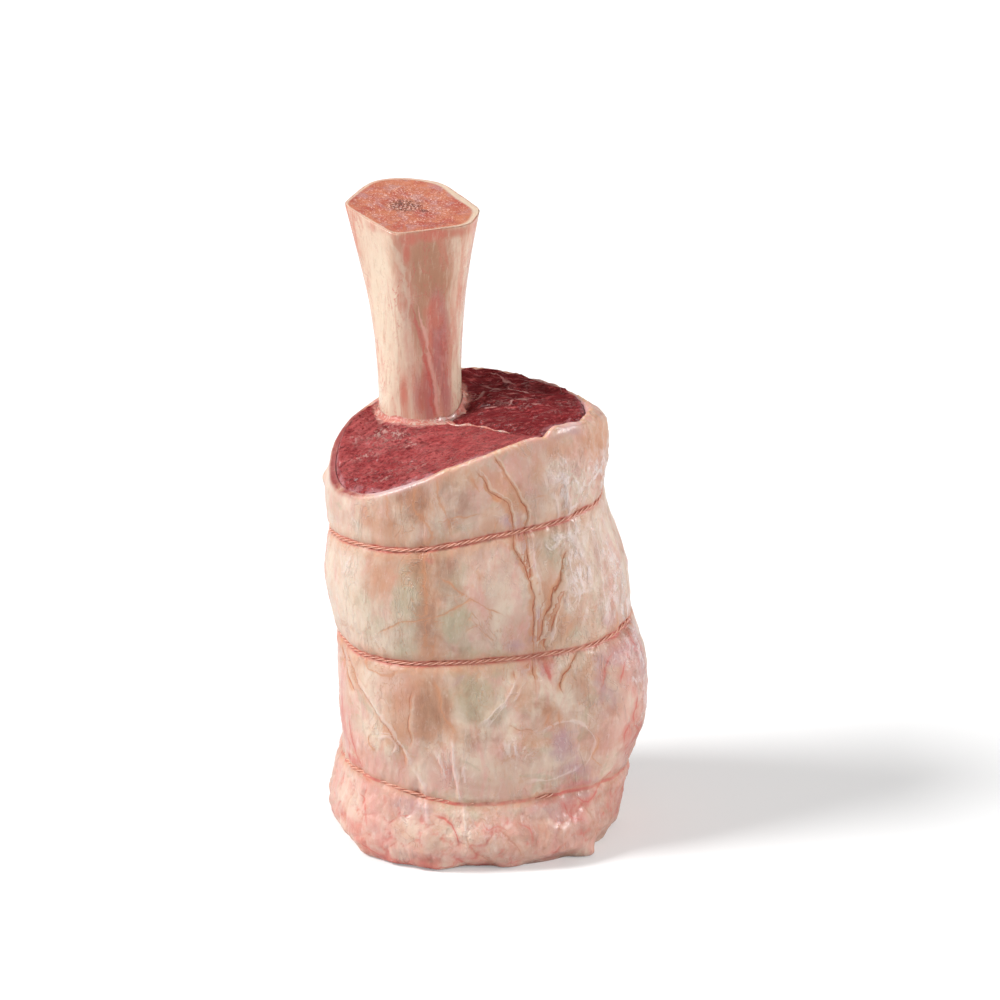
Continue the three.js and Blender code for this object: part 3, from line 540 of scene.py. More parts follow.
def bone_place(angle, radius, z):
    x, y = bone_middle(z)
    return np.stack([x + radius * np.cos(angle), y + radius * np.sin(angle), z + 0 * radius], -1)


def bone_top_height(x, y):
    middle_x, middle_y = bone_middle(BONE["top"])
    return BONE["top"] + BONE["right"] * (x - middle_x) + BONE["back"] * (y - middle_y)


# ------------------------------------------------------------------ reading the paths


def rounded_path(path, steps=3):
    """The path's points with more between them, on a smooth curve."""
    table = np.column_stack([np.arange(len(path)), np.array(path, float)])
    places = np.linspace(0, len(path) - 1, (len(path) - 1) * steps + 1)
    return np.stack([along(table, places, 1), along(table, places, 2)], -1)


def near_path(degrees, height, path, reach=7.0):
    """Signed distance to a path, in mm, and a share that fades away from it and at its ends."""
    points = rounded_path(path) * (DEGREE_ARC, 1.0)
    middle = (points.min(axis=0) + points.max(axis=0)) / 2
    half = (points.max(axis=0) - points.min(axis=0)) / 2 + reach
    across = turn(degrees, middle[0] / DEGREE_ARC) * DEGREE_ARC
    close = (np.abs(across) < half[0]) & (np.abs(height - middle[1]) < half[1])
    signed_all, share_all = np.full(len(degrees), reach), np.zeros(len(degrees))
    here = np.stack([across[close] + middle[0], height[close]], -1)
    steps = np.diff(points, axis=0)
    lengths = np.hypot(steps[:, 0], steps[:, 1])
    starts = np.concatenate([[0], np.cumsum(lengths)])
    best, signed, place = np.full(len(here), 1e9), np.zeros(len(here)), np.zeros(len(here))
    for k, (start, step) in enumerate(zip(points, steps)):
        offset = here - start
        t = np.clip((offset @ step) / lengths[k] ** 2, 0, 1)
        away = offset - t[:, None] * step
        distance = np.hypot(away[:, 0], away[:, 1])
        nearer = distance < best
        side = np.sign(step[0] * offset[:, 1] - step[1] * offset[:, 0] + 1e-9)
        best = np.where(nearer, distance, best)
        signed = np.where(nearer, side * distance, signed)
        place = np.where(nearer, starts[k] + t * lengths[k], place)
    taper = np.minimum(1, np.minimum(place, starts[-1] - place) / 5 + 0.12)
    signed_all[close] = np.clip(signed, -reach, reach)
    share_all[close] = taper * (1 - smooth_step(best, 0.55 * reach, reach))
    return signed_all, share_all


def wandering(degrees, height, amount, size):
    """Skin coordinates shifted a little by noise, so that lines and patches are not ruled."""
    places = ring_places(np.radians(degrees), SKIN_RADIUS, height)
    across, up = grain(places, size, 3, shift=50.0), grain(places, size, 3, shift=60.0)
    return degrees + amount * across / DEGREE_ARC, height + amount * up


LINE_WANDER = {"amount": 1.1, "size": 9.0}
PATCH_WANDER = {"amount": 5.0, "size": 20.0}


def painted(degrees, height, patches):
    """The strongest of a list of soft patches at each point."""
    amount = np.zeros(len(degrees))
    for centre, middle, wide, tall, strength in patches:
        away = (turn(degrees, centre) / wide) ** 2 + ((height - middle) / tall) ** 2
        amount = np.maximum(amount, strength * np.exp(-(away**1.3)))
    return amount


# ------------------------------------------------------------------ making meshes


WELD_DISTANCE = 1e-6


def bent_grid(columns, rows, shape):
    """A grid of faces bent by shape(u, v), in mm, with meeting edges welded. Keeps v on the points."""
    bm = bmesh.new()
    bmesh.ops.create_grid(bm, x_segments=columns, y_segments=rows, size=1.0)
    flat = np.array([vert.co[:] for vert in bm.verts])
    u, v = (flat[:, 0] + 1) / 2, (flat[:, 1] + 1) / 2
    keep_v = bm.verts.layers.float.new("v")
    places = shape(u, v) * MM
    for vert, place, up in zip(bm.verts, places.tolist(), v.tolist()):
        vert.co = place
        vert[keep_v] = up
    bmesh.ops.remove_doubles(bm, verts=bm.verts, dist=WELD_DISTANCE)
    return bm


def close_holes(bm):
    edges = [edge for edge in bm.edges if edge.is_boundary]
    if edges:
        bmesh.ops.holes_fill(bm, edges=edges, sides=0)


def mesh_from(name, bm):
    mesh = bpy.data.meshes.new(name)
    bm.to_mesh(mesh)
    bm.free()
    return mesh


def put_in_scene(name, data):
    made = bpy.data.objects.new(name, data)
    bpy.context.scene.collection.objects.link(made)
    return made


def add_bent(bm, columns, rows, shape):
    """Bends one more grid, closes it and adds it to a mesh that is being built."""
    more = bent_grid(columns, rows, shape)
    close_holes(more)
    part = mesh_from("part", more)
    bm.from_mesh(part)
    bpy.data.meshes.remove(part)


def close_and_keep(name, bm, node, material):
    """Fills open ends, points the faces outwards and makes the piece that stands for a CAD node."""
    close_holes(bm)
    bmesh.ops.recalc_face_normals(bm, faces=bm.faces)
    for face in bm.faces:
        face.smooth = True
    piece = put_in_scene(name, mesh_from(name, bm))
    piece.data.materials.append(material)
    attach(piece, "root")
    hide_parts(node)
    return piece


def point_values(mesh, name):
    values = np.empty(len(mesh.vertices))
    mesh.attributes[name].data.foreach_get("value", values)
    return values


def point_places(mesh):
    places = np.empty(3 * len(mesh.vertices))
    mesh.vertices.foreach_get("co", places)
    return places.reshape(-1, 3) / MM


def store(mesh, name, values):
    layer = mesh.attributes.new(name, "FLOAT", "POINT")
    layer.data.foreach_set("value", np.asarray(values, np.float32))


# ------------------------------------------------------------------ the cover of fat

COVER_COLUMNS = 424
COVER_ROWS = {"under": 8, "skin": 182, "rim": 14, "inside": 10}
SEAM_OF_GRID = math.radians(90)  # the grid's own join is at the back
LEAST_SKIN = 0.8
STAIN_NARROWED = {"twine_bottom": 1.9}


def skin_relief(angle, z):
    """How far the skin stands out from the plain tied form, in mm."""
    degrees = np.degrees(angle)
    places = round_axis(angle, tied_radius(angle, z), z)
    rise = 1.0 * grain(places, 34, 2, (1, 1, 1.4))
    rise += 0.6 * grain(places, 13, 3, (1, 1, 2.6), 3.1)
    rise += 0.15 * grain(places, 4.5, 2, (1, 1, 1.8), 7.7)
    tight = ridged(places, 6.0, 3, (1, 1, 4.5), 21.0)
    here = smooth_step(grain(places, 26, 2, (1, 1, 1.5), 17.0), -0.1, 0.25)
    rise -= 0.3 * np.maximum(0, tight - 0.72) / 0.28 * here
    pleats = grain(places, 3.8, 2, (1, 1, 9), 11.3)
    for name in LOOPS:
        off = z - loop_height(name, angle)
        rise += (0.9 if name == "twine_bottom" else 0.6) * pleats * bell(off, 8)
        rise += 0.22 * bell(np.abs(off) - 4.5, 2.6) - 0.5 * bell(off, 1.4)
    off = z - loop_height("twine_bottom", angle)
    rise += 0.3 * bell(off + 4.6, 3.2) + 1.5 * bell(off, 2.6) * (0.8 + 0.5 * grain(places, 9, 2, shift=33.0))
    moved, moved_z = wandering(degrees, z, **LINE_WANDER)
    for path, width, depth, _ in CREASES.values():
        signed, share = near_path(moved, moved_z, path, WIDE_REACH)
        rise -= share * depth * (0.35 * bell(signed, width) + 0.22 * bell(signed, 4 * width))
        rise += 0.1 * share * depth * bell(signed - 3.0 * width, 2.4 * width)
    for path, width, height, _ in RIDGES.values():
        signed, share = near_path(moved, moved_z, path)
        rise += share * height * bell(signed, width)
    for centre, middle, wide, tall, height in BULGES:
        away = (turn(degrees, centre) / wide) ** 2 + ((z - middle) / tall) ** 2
        rise += height * np.exp(-(away**1.5))
    upper = bell(turn(degrees, -20), 28) * smooth_step(z, 150, 186)
    rise += 1.4 * upper * (ridged(places, 10, 3, (1, 1, 2.6), 5.0) - 0.4)
    by = np.stack([grain(places, 14, 2, shift=30.0), grain(places, 14, 2, shift=40.0), 0 * z], -1)
    rise += 0.9 * upper * (ridged(places + 5.0 * by, 5, 3, (1, 1, 1.5), 15.0) - 0.4)
    side = bell(turn(degrees, -32), 16) * smooth_step(z, 96, 112) * (1 - smooth_step(z, 150, 175))
    rise += 0.7 * side * (ridged(places, 6, 2, (1, 1, 5), 9.0) - 0.4)
    rear = bell(turn(degrees, -12), 18) * smooth_step(z, 58, 80) * (1 - smooth_step(z, 150, 170))
    rise += 0.6 * rear * (ridged(places, 4.5, 3, (1, 1, 6), 12.0) - 0.4)
    calm = 0.4 + 0.6 * np.maximum(smooth_step(below_rim(angle, z), 0, 12), roll_share(angle))
    return rise * calm * (0.25 + 0.75 * smooth_step(z, 0, 3))


def fat_lumps(angle, z):
    """The lumpy fat under the lowest twine: 1 on the lumps, 0 between them."""
    places = round_axis(angle, tied_radius(angle, z), z)
    worn = places + 2.0 * np.stack([grain(places, 8, 2, shift=shift) for shift in (0.0, 4.0, 8.0)], -1)
    share = 1 - smooth_step(z - loop_height("twine_bottom", angle), -7, -1)
    side = smooth_step(np.abs(turn(np.degrees(angle), -95)), 68, 90) * (1 - smooth_step(z, 70, 96)) * 0.75
    share = np.maximum(share, side)
    near = share > 0.01
    heights = np.ones(len(z))
    heights[near] = 0.65 * lumps(worn[near], 11.0) + 0.35 * lumps(worn[near], 5.5, 7.0)
    return 1 - share * (1 - heights)


def base_outline(angle, z):
    """Lets the lower edge wander in and out, with a flap at the front right corner."""
    degrees = np.degrees(angle)
    low = 1 - smooth_step(z, 0, 9)
    wander = 1.3 * np.sin(5 * angle + 0.7) + 0.9 * np.sin(11 * angle + 2.0) + 0.6 * np.sin(23 * angle)
    flap = 5.0 * bell(turn(degrees, -41), 5) * bell(z - 1, 5) - 2.5 * bell(turn(degrees, -33), 6) * bell(z - 4, 6)
    lip = 2.6 * bell(turn(degrees, -108), 13) * bell(z - 1.5, 3.5)
    notch = -2.4 * bell(turn(degrees, -92), 4) - 6.2 * bell(turn(degrees, -58), 12)
    notch -= 2.5 * bell(turn(degrees, -150), 22)
    tab = 2.2 * bell(turn(degrees, 178), 3.5) * bell(z - 169, 4)
    return low * (wander + notch) + flap + lip + tab


def cover_shape(u, v):
    rows = sum(COVER_ROWS.values())
    row = v * rows
    angle = SEAM_OF_GRID + 2 * math.pi * u
    under, skin, rim = COVER_ROWS["under"], COVER_ROWS["skin"], COVER_ROWS["rim"]
    top = rim_height(angle)
    ring = ring_places(angle, SKIN_RADIUS, 0 * angle)
    degrees = np.degrees(angle)
    loose = 0.6 + 1.3 * bell(turn(degrees, 48), 66)
    ragged = loose * grain(ring, 11, 4, shift=14.0) - 0.1
    ragged += 1.2 * bell(turn(degrees, -45), 4) - 1.4 * bell(turn(degrees, -51), 2.5)
    top_edge = top + ragged
    t_skin = np.clip((row - under) / skin, 0, 1)
    z = top_edge * t_skin**1.04
    on_skin = (row > under - 0.5) & (row < under + skin + 0.5)
    relief = skin_relief(angle, z) + base_outline(angle, z)
    relief[on_skin] += 1.3 * (fat_lumps(angle[on_skin], z[on_skin]) - 0.75)
    out = rounded_radius(angle, np.minimum(z, top)) + relief
    inside_top, inside_base = wall_radius(angle, top), wall_radius(angle, 0 * angle)
    out = np.maximum(out, wall_radius(angle, np.minimum(z, top)) + LEAST_SKIN)
    radius = np.where(row < under, inside_base + (out - inside_base) * np.clip(row / under, 0, 1), out)
    t_rim = np.clip((row - under - skin) / rim, 0, 1)
    crown = (0.15 + 0.3 * (cover_thickness(angle) - COVER["thickness"])) * np.sin(math.pi * t_rim)
    on_rim = row > under + skin
    radius = np.where(on_rim, out + (inside_top - out) * t_rim, radius)
    z = np.where(on_rim, top_edge + crown, z)
    t_inside = np.clip((row - under - skin - rim) / COVER_ROWS["inside"], 0, 1)
    on_wall = row > under + skin + rim
    z = np.where(on_wall, top_edge * (1 - t_inside), z)
    radius = np.where(on_wall, wall_radius(angle, z), radius)
    radius = np.where(t_inside > 0.9999, inside_base, radius)
    edge = round_axis(angle, out, z)
    place = round_axis(angle, radius, z)
    level = cut_height(place[:, 0], place[:, 1]) - cut_height(edge[:, 0], edge[:, 1])
    place[:, 2] += np.where(on_rim & ~on_wall, level * t_rim, 0)
    return place


# Each kind of line, and which entry of its rows is the strength.
LINES = {"crease": (CREASES, 3), "vein": (VEINS, 2), "ridge": (RIDGES, 3), "red": (REDS, 2)}


def store_lines(mesh, degrees, height):
    """Stores, for each kind of line, the distance to the nearest one as a share of its width, and its strength."""
    for group, (paths, strength) in LINES.items():
        signed, share = np.full(len(height), NO_LINE), np.zeros(len(height))
        for entry in paths.values():
            line, near = near_path(degrees, height, entry[0], WIDE_REACH)
            near = near * entry[strength] * bell(line, 5 * entry[1])
            stronger = near > share
            signed, share = np.where(stronger, line / entry[1], signed), np.where(stronger, near, share)
        store(mesh, f"{group}_line", signed)
        store(mesh, f"{group}_share", np.minimum(1, 2 * share))


def make_cover(material):
    bm = bent_grid(COVER_COLUMNS, sum(COVER_ROWS.values()), cover_shape)
    piece = close_and_keep("fat_cover_skin", bm, "fat_cover", material)
    mesh = piece.data
    places = point_places(mesh)
    angle = np.arctan2(places[:, 1] - MEAT_AXIS[1], places[:, 0] - MEAT_AXIS[0])
    degrees, height = np.degrees(angle), places[:, 2]
    store_lines(mesh, *wandering(degrees, height, **LINE_WANDER))
    moved = wandering(degrees, height, **PATCH_WANDER)
    for tint, patches in TINTS.items():
        store(mesh, f"tint_{tint}", painted(*moved, patches))
    store(mesh, "lumps", fat_lumps(angle, height))
    offs = np.stack([np.abs(height - loop_height(name, angle)) * STAIN_NARROWED.get(name, 1.0) for name in LOOPS])
    store(mesh, "loop_distance", offs.min(axis=0))
    row = point_values(mesh, "v") * sum(COVER_ROWS.values())
    last = COVER_ROWS["under"] + COVER_ROWS["skin"]
    store(mesh, "rim", smooth_step(row, last - 3, last + 1))
    store(mesh, "inside", smooth_step(row, last + 0.6 * COVER_ROWS["rim"], last + COVER_ROWS["rim"]))


# ------------------------------------------------------------------ the muscles

MUSCLE_ROWS = {"under": 16, "outside": 8, "top": 76, "inside": 6}
MUSCLES = {  # where each starts and how far it goes round the bone, in degrees, and its columns
    "muscle_front": (SEAM_BEARING - 180, 180, 250),
    "muscle_back": (SEAM_BEARING, 180, 210),
}


def reach_to_cover(angle, z):
    """Distance from the bone's axis out to the cover's inner wall."""
    x, y = bone_middle(z)
    low, high = np.full(np.shape(angle), 8.0), np.full(np.shape(angle), 135.0)
    for _ in range(22):
        middle = (low + high) / 2
        dx, dy = x + middle * np.cos(angle) - MEAT_AXIS[0], y + middle * np.sin(angle) - MEAT_AXIS[1]
        inside = np.hypot(dx, dy) < wall_radius(np.arctan2(dy, dx), z) - 0.5 * GAP
        low, high = np.where(inside, middle, low), np.where(inside, high, middle)
    return low


def cut_border(angle, reach_at):
    """Where a ray from the bone meets the cut at a given reach: the reach and the height there."""
    z = np.full(np.shape(angle), 190.0)
    for _ in range(5):
        reach = reach_at(angle, z)
        edge = bone_place(angle, reach, z)
        z = cut_height(edge[:, 0], edge[:, 1])
    return reach, z


def bone_clearance(angle, z):
    return bone_radius(angle, z) + SEAM_SLEEVE + 2 * GAP


def near_sinew(places, path):
    """near_path on the cut face, where both measures are in mm."""
    return near_path(places[:, 0] / DEGREE_ARC, places[:, 1], [(right / DEGREE_ARC, back) for right, back in path])


def front_relief(places):
    """Loose fibres at the left, calmer towards the right. Returns the rise in mm."""
    x, y = places[:, 0], places[:, 1]
    flat = places * (1, 1, 0)
    rough = smooth_step(-x, 8, 40)
    leaning = flat + np.stack([0.35 * y, -0.25 * x, 0 * x], -1)
    rise = 0.5 * grain(flat, 15, 3) + 0.22 * grain(leaning, 3.4, 3, (1.5, 0.9, 1))
    rise += rough * (1.5 * ridged(leaning, 7, 4, (2.4, 0.75, 1), 4.0) - 0.6)
    rise += 0.7 * bell(np.hypot((x + 45) / 1.4, y - 1), 9) * grain(flat, 2.6, 2, (1.3, 1, 1), 9.0)
    return rise + 0.16 * grain(flat, 1.5, 2, shift=5.0)


def back_relief(places):
    """Long ridges running to the right. Returns the rise in mm."""
    x = places[:, 0]
    flat = places * (1, 1, 0)
    wave = grain(flat, 18, 2, (1.8, 1, 1), 6.0)
    bent = flat + np.stack([0 * x, 4 * wave + 0.12 * x, 0 * x], -1)
    bands = ridged(bent, 8, 3, (4.2, 0.8, 1), 1.7)
    rise = 2.6 * bands - 0.9 + 0.7 * wave + 0.35 * grain(bent, 3.0, 3, (3.5, 1, 1))
    for path in SINEWS:
        signed, share = near_sinew(places, path)
        rise += 0.5 * share * bell(signed, 0.9)
    return rise


RELIEFS = {"muscle_front": front_relief, "muscle_back": back_relief}


SEAM_MARGIN = 0.25  # degrees left free for the seam


def muscle_shape(name):
    """Bends a grid into a muscle: its underside, its outer wall, its cut face and its wall round the bone."""
    start, sweep, columns = MUSCLES[name]
    rows = sum(MUSCLE_ROWS.values())
    under, outside, top, inside = MUSCLE_ROWS.values()
    around = np.radians(start + SEAM_MARGIN + (sweep - 2 * SEAM_MARGIN) * np.linspace(0, 1, columns + 1))
    outer, outer_z = cut_border(around, reach_to_cover)
    inner, inner_z = cut_border(around, bone_clearance)
    foot_outer, foot_inner = reach_to_cover(around, 0 * around), bone_clearance(around, 0 * around)

    def shape(u, v):
        row = v * rows
        column = np.round(u * columns).astype(int)
        angle = around[column]
        t_top = np.clip((row - under - outside) / top, 0, 1)
        far = bone_place(angle, outer[column], outer_z[column])
        near = bone_place(angle, inner[column], inner_z[column])
        places = far + (near - far) * t_top[:, None]
        width = outer[column] - inner[column]
        to_end = np.minimum(u, 1 - u) * math.radians(sweep) * (outer[column] - t_top * width)
        edge = smooth_step(np.minimum(np.minimum(t_top, 1 - t_top) * width, to_end), 0, 2.2)
        crest = cut_height(places[:, 0], places[:, 1]) + RELIEFS[name](places) * (0.3 + 0.7 * edge)
        crest += (0.9 if name == "muscle_back" else 0.3) * edge - 0.25
        crest += 1.3 * smooth_step(-places[:, 0], 44, 62) * smooth_step(t_top * width, 0, 1.5)
        places[:, 2] = crest
        t_under = np.clip(row / under, 0, 1)
        foot = bone_place(angle, foot_inner[column] + (foot_outer[column] - foot_inner[column]) * t_under, 0 * angle)
        foot[:, 2] = np.maximum(0, 0.5 * grain(foot * (1, 1, 0), 9, 3) - 0.1) * np.sin(math.pi * t_under)
        places = np.where((row < under + 0.5)[:, None], foot, places)
        t_outside = np.clip((row - under) / outside, 0, 1)
        wall_z = crest * t_outside
        wall = bone_place(angle, reach_to_cover(angle, np.minimum(wall_z, outer_z[column])), wall_z)
        on_wall = (row > under + 0.5) & (row < under + outside - 0.5)
        places = np.where(on_wall[:, None], wall, places)
        t_inside = np.clip((row - under - outside - top) / inside, 0, 1)
        down_z = crest * (1 - t_inside)
        down = bone_place(angle, bone_clearance(angle, np.minimum(down_z, inner_z[column])), down_z)
        return np.where((row > under + outside + top + 0.5)[:, None], down, places)

    return shape


def store_muscle(mesh, name):
    """Stores what the lean's paint goes by."""
    places = point_places(mesh)
    x, y = places[:, 0], places[:, 1]
    row = point_values(mesh, "v") * sum(MUSCLE_ROWS.values())
    t_top = np.clip((row - MUSCLE_ROWS["under"] - MUSCLE_ROWS["outside"]) / MUSCLE_ROWS["top"], 0, 1)
    upper = smooth_step(places[:, 2], 120, 150)
    store(mesh, "border", upper * (1 - smooth_step(t_top, 0, 0.06)))
    # Painted shade: the hollows of the cut face's relief, which the paint darkens.
    store(mesh, "shaded_valley", upper * smooth_step(-RELIEFS[name](places), -0.2, 0.9))
    store(mesh, "foot", 1 - upper)
    axis_x, axis_y = bone_middle(np.clip(places[:, 2], 0, BONE["top"]))
    angle = np.arctan2(y - axis_y, x - axis_x)
    from_bone = np.hypot(x - axis_x, y - axis_y) - bone_clearance(angle, places[:, 2])
    store(mesh, "from_bone", np.clip(from_bone, 0, 20))
    flecks = np.zeros(len(x))
    for right, back, wide, deep, amount in FAT_FLECKS:
        flecks = np.maximum(flecks, amount * np.exp(-(((x - right) / wide) ** 2 + ((y - back) / deep) ** 2)))
    store(mesh, "flecks", flecks * upper)
    signed, share = np.full(len(x), NO_LINE), np.zeros(len(x))
    for path in SINEWS:
        line, near = near_sinew(places, path)
        signed, share = np.where(near > share, line, signed), np.maximum(near, share)
    store(mesh, "sinew_line", signed)
    store(mesh, "sinew_share", share * upper)


def make_muscle(name, material):
    bm = bent_grid(MUSCLES[name][2], sum(MUSCLE_ROWS.values()), muscle_shape(name))
    piece = close_and_keep(f"{name}_lean", bm, name, material)
    store_muscle(piece.data, name)


# ------------------------------------------------------------------ the seam and the cuff


SEAM_SHORT = 1.2  # how far the sheet stops before the cover's wall


def seam_shape(u, v):
    """A thin upright sheet from the bone out to the cover, its free edge a little proud of the meat near the bone."""
    bearing = math.radians(SEAM_BEARING) + 0 * u
    loop = 2 * math.pi * v
    high, side = 0.5 - 0.5 * np.cos(loop), np.sin(loop)
    climb = smooth_step(high, 0.02, 0.9)
    start = bone_radius(bearing, climb * SEAM_TOP) + 0.8
    end = reach_to_cover(bearing, climb * SEAM_TOP) - SEAM_SHORT
    knob = bell(u, 0.13)
    half = (0.14 + 1.3 * knob + 0.1 * np.sin(23 * u) ** 2) * np.clip(1.5 * side, -1, 1)
    middle = bone_place(bearing, start + (end - start) * u, climb * SEAM_TOP)
    proud = 0.3 + 0.5 * knob + 0.35 * np.sin(31 * u + 1) - 0.9 * smooth_step(u, 0.5, 0.8)
    crest = cut_height(middle[:, 0], middle[:, 1]) + proud
    crest = np.where(high > 0.5, crest, SEAM_TOP)
    wander = half + 0.2 * np.sin(u * 13) * u * (high > 0.5)
    middle[:, 0] -= wander * np.sin(bearing)
    middle[:, 1] += wander * np.cos(bearing)
    middle[:, 2] = crest * climb
    return middle


CUFF_STEPS = np.array(  # share along the profile, distance from the bone, height over the cut
    [
        (0.00, 0.15, -6.0), (0.10, 1.5, -6.0), (0.26, 1.9, -2.0), (0.38, 2.5, -1.5), (0.46, 2.7, -0.7),
        (0.58, 2.0, 0.0), (0.70, 1.3, 0.4), (0.80, 0.8, 0.9), (0.90, 0.3, 1.8), (0.95, 0.12, 2.4), (1.00, 0.15, -6.0),
    ]
)
# Where the cuff spreads further over the meat: degrees, width, how much further.
CUFF_REACH = ((-130, 16, 0.5), (-44, 14, 1.9), (170, 30, 1.0), (-92, 24, -0.45), (40, 30, 0.2))


def cuff_shape(u, v):
    """Torn tissue that climbs the foot of the bone and frays out over the meat."""
    angle = 2 * math.pi * u
    degrees = np.degrees(angle)
    away = np.interp(v, CUFF_STEPS[:, 0], CUFF_STEPS[:, 1])
    rise = np.interp(v, CUFF_STEPS[:, 0], CUFF_STEPS[:, 2])
    low = CUFF_FOOT + 0 * u
    foot = bone_place(angle, bone_radius(angle, low) + 1.5, low)
    ground = cut_height(foot[:, 0], foot[:, 1])
    ring = ring_places(angle, 22, 5 * v)
    torn, fine = grain(ring, 9, 2, (1, 1, 3), 2.0), grain(ring, 2.4, 2, (1, 1, 3), 8.0)
    spread = 1 + sum(more * bell(turn(degrees, centre), wide) for centre, wide, more in CUFF_REACH)
    above = np.clip(rise + 0.6, 0, 5) / 5
    rise = rise + above * (1.3 * torn + 0.2 * fine - 0.9 * bell(turn(degrees, 8), 45))
    away = np.where(away > 1.0, 1.0 + (away - 1.0) * np.maximum(0.3, spread * (1 + torn)) + 0.1 * fine, away)
    z = ground + rise
    place = bone_place(angle, bone_radius(angle, z) + np.maximum(away, 0.12), z)
    slope = cut_height(place[:, 0], place[:, 1]) - ground
    place[:, 2] = place[:, 2] + np.clip((away - 1) / 3, 0, 1) * slope * 0.8
    return place


SLEEVE_STEPS = np.array(  # share along the profile, distance from the bone, height
    [(0.0, 0.1, 0.0), (0.1, 1.7, 0.0), (0.5, 1.7, 150.0), (0.6, 0.1, 150.0), (1.0, 0.1, 0.0)]
)


def sleeve_shape(u, v):
    """The thin wrap round the buried bone, which shows as a ring at the base."""
    angle = 2 * math.pi * u
    away = np.interp(v, SLEEVE_STEPS[:, 0], SLEEVE_STEPS[:, 1])
    z = np.interp(v, SLEEVE_STEPS[:, 0], SLEEVE_STEPS[:, 2])
    return bone_place(angle, bone_radius(angle, z) + away, z)


def make_seam(material):
    bm = bmesh.new()
    add_bent(bm, 180, 10, sleeve_shape)
    add_bent(bm, 140, 44, seam_shape)
    add_bent(bm, 320, 40, cuff_shape)
    close_and_keep("seam_tissue_white", bm, "seam_tissue", material)


# ------------------------------------------------------------------ the bone

BONE_COLUMNS = 260
BONE_ROWS = {"under": 20, "buried": 8, "shaft": 130, "edge": 4, "sawn": 64}
LIGAMENT = [(-90, 252), (-85, 246.5), (-80, 236), (-75, 230), (-71, 219.5), (-65, 209.8), (-64, 201.5), (-61, 193)]
# A raised crest down the front edge of the bone, painted pale along its length as a painted highlight.
HIGHLIT_CREST = [(-119, 286), (-110, 277), (-103, 269.8), (-100, 264.5), (-99, 253.2), (-99, 240)]


BONE_NARROW = 0.32  # a degree round the bone as a share of one round the meat
BONE_WANDER = {"amount": 0.9, "size": 8.0}


def bone_path(degrees, z, path):
    """near_path on the bone."""
    moved, moved_z = wandering(degrees * BONE_NARROW, z, **BONE_WANDER)
    return near_path(moved, moved_z, [(across * BONE_NARROW, height) for across, height in path], 8.0)


def bone_relief(angle, z):
    degrees = np.degrees(angle)
    places = bone_place(angle, bone_radius(angle, z), z)
    rise = 0.5 * grain(places, 24, 2, (1, 1, 3)) + 0.14 * grain(places, 5, 3, (1, 1, 5), 3.0)
    signed, share = bone_path(degrees, z, LIGAMENT)
    rise += share * (2.0 * bell(signed, 1.1) - 0.9 * bell(signed + 2.6, 1.4))
    signed, share = bone_path(degrees, z, HIGHLIT_CREST)
    rise += share * 0.8 * bell(signed, 1.6)
    torn = bell(turn(degrees, -52), 7) * smooth_step(z, 200, 212) * (1 - smooth_step(z, 232, 245))
    rise += 0.6 * torn * grain(places, 2.2, 2, (1, 1, 2), 1.0)
    rise -= 0.7 * bell(turn(degrees, -64), 15) * smooth_step(z, 190, 210) * (1 - smooth_step(z, 245, 275))
    streaks = grain(places, 2.4, 2, (1, 1, 12), 6.0)
    rise += 0.18 * streaks * bell(turn(degrees, -62), 30) * (1 - smooth_step(z, 240, 262))
    return rise


MARROW = (-37.0, 29.0)
SECOND_PORE = (-28.5, 24.0)


def bone_shape(u, v):
    angle = 2 * math.pi * u
    row = v * sum(BONE_ROWS.values())
    under, buried, shaft, edge, sawn = BONE_ROWS.values()
    top = BONE["top"] + 0 * u
    rim = bone_place(angle, bone_radius(angle, top), top)
    crown = bone_top_height(rim[:, 0], rim[:, 1])
    t_buried = np.clip((row - under) / buried, 0, 1)
    t_shaft = np.clip((row - under - buried) / shaft, 0, 1)
    z = BARE_FROM * t_buried + (crown - BARE_FROM) * t_shaft
    body = bone_radius(angle, np.minimum(z, BONE["top"])) + bone_relief(angle, z) * smooth_step(z, 2, 20)
    t_edge = np.clip((row - under - buried - shaft) / edge, 0, 1)
    t_sawn = np.clip((row - under - buried - shaft - edge) / sawn, 0, 1)
    wear = 0.9 * (1 - np.cos(t_edge * math.pi / 2))
    radius = np.where(row < under, body * (row / under), (body - wear) * (1 - t_sawn))
    z = z + np.where(t_edge > 0, 0.55 * np.sin(t_edge * math.pi / 2) - 0.55, 0)
    place = bone_place(angle, radius, np.minimum(z, BONE["top"]))
    on_face = t_edge > 0
    level = bone_top_height(place[:, 0], place[:, 1])
    pits = grain(place * (1, 1, 0), 1.5, 3, shift=4.0)
    field = smooth_step(t_sawn, 0.10, 0.22)
    centre = bell(np.hypot(place[:, 0] - MARROW[0], place[:, 1] - MARROW[1]), 7)
    relief = field * (0.22 * pits - 0.25 + 0.3 * grain(place * (1, 1, 0), 9, 2))
    relief -= centre * (0.5 + 1.1 * np.maximum(0, pits))
    place[:, 2] = np.where(on_face, level - 0.55 * (1 - np.sin(t_edge * math.pi / 2)) + relief, z)
    place[:, 2] = np.where(row < under, 0, place[:, 2])
    return place


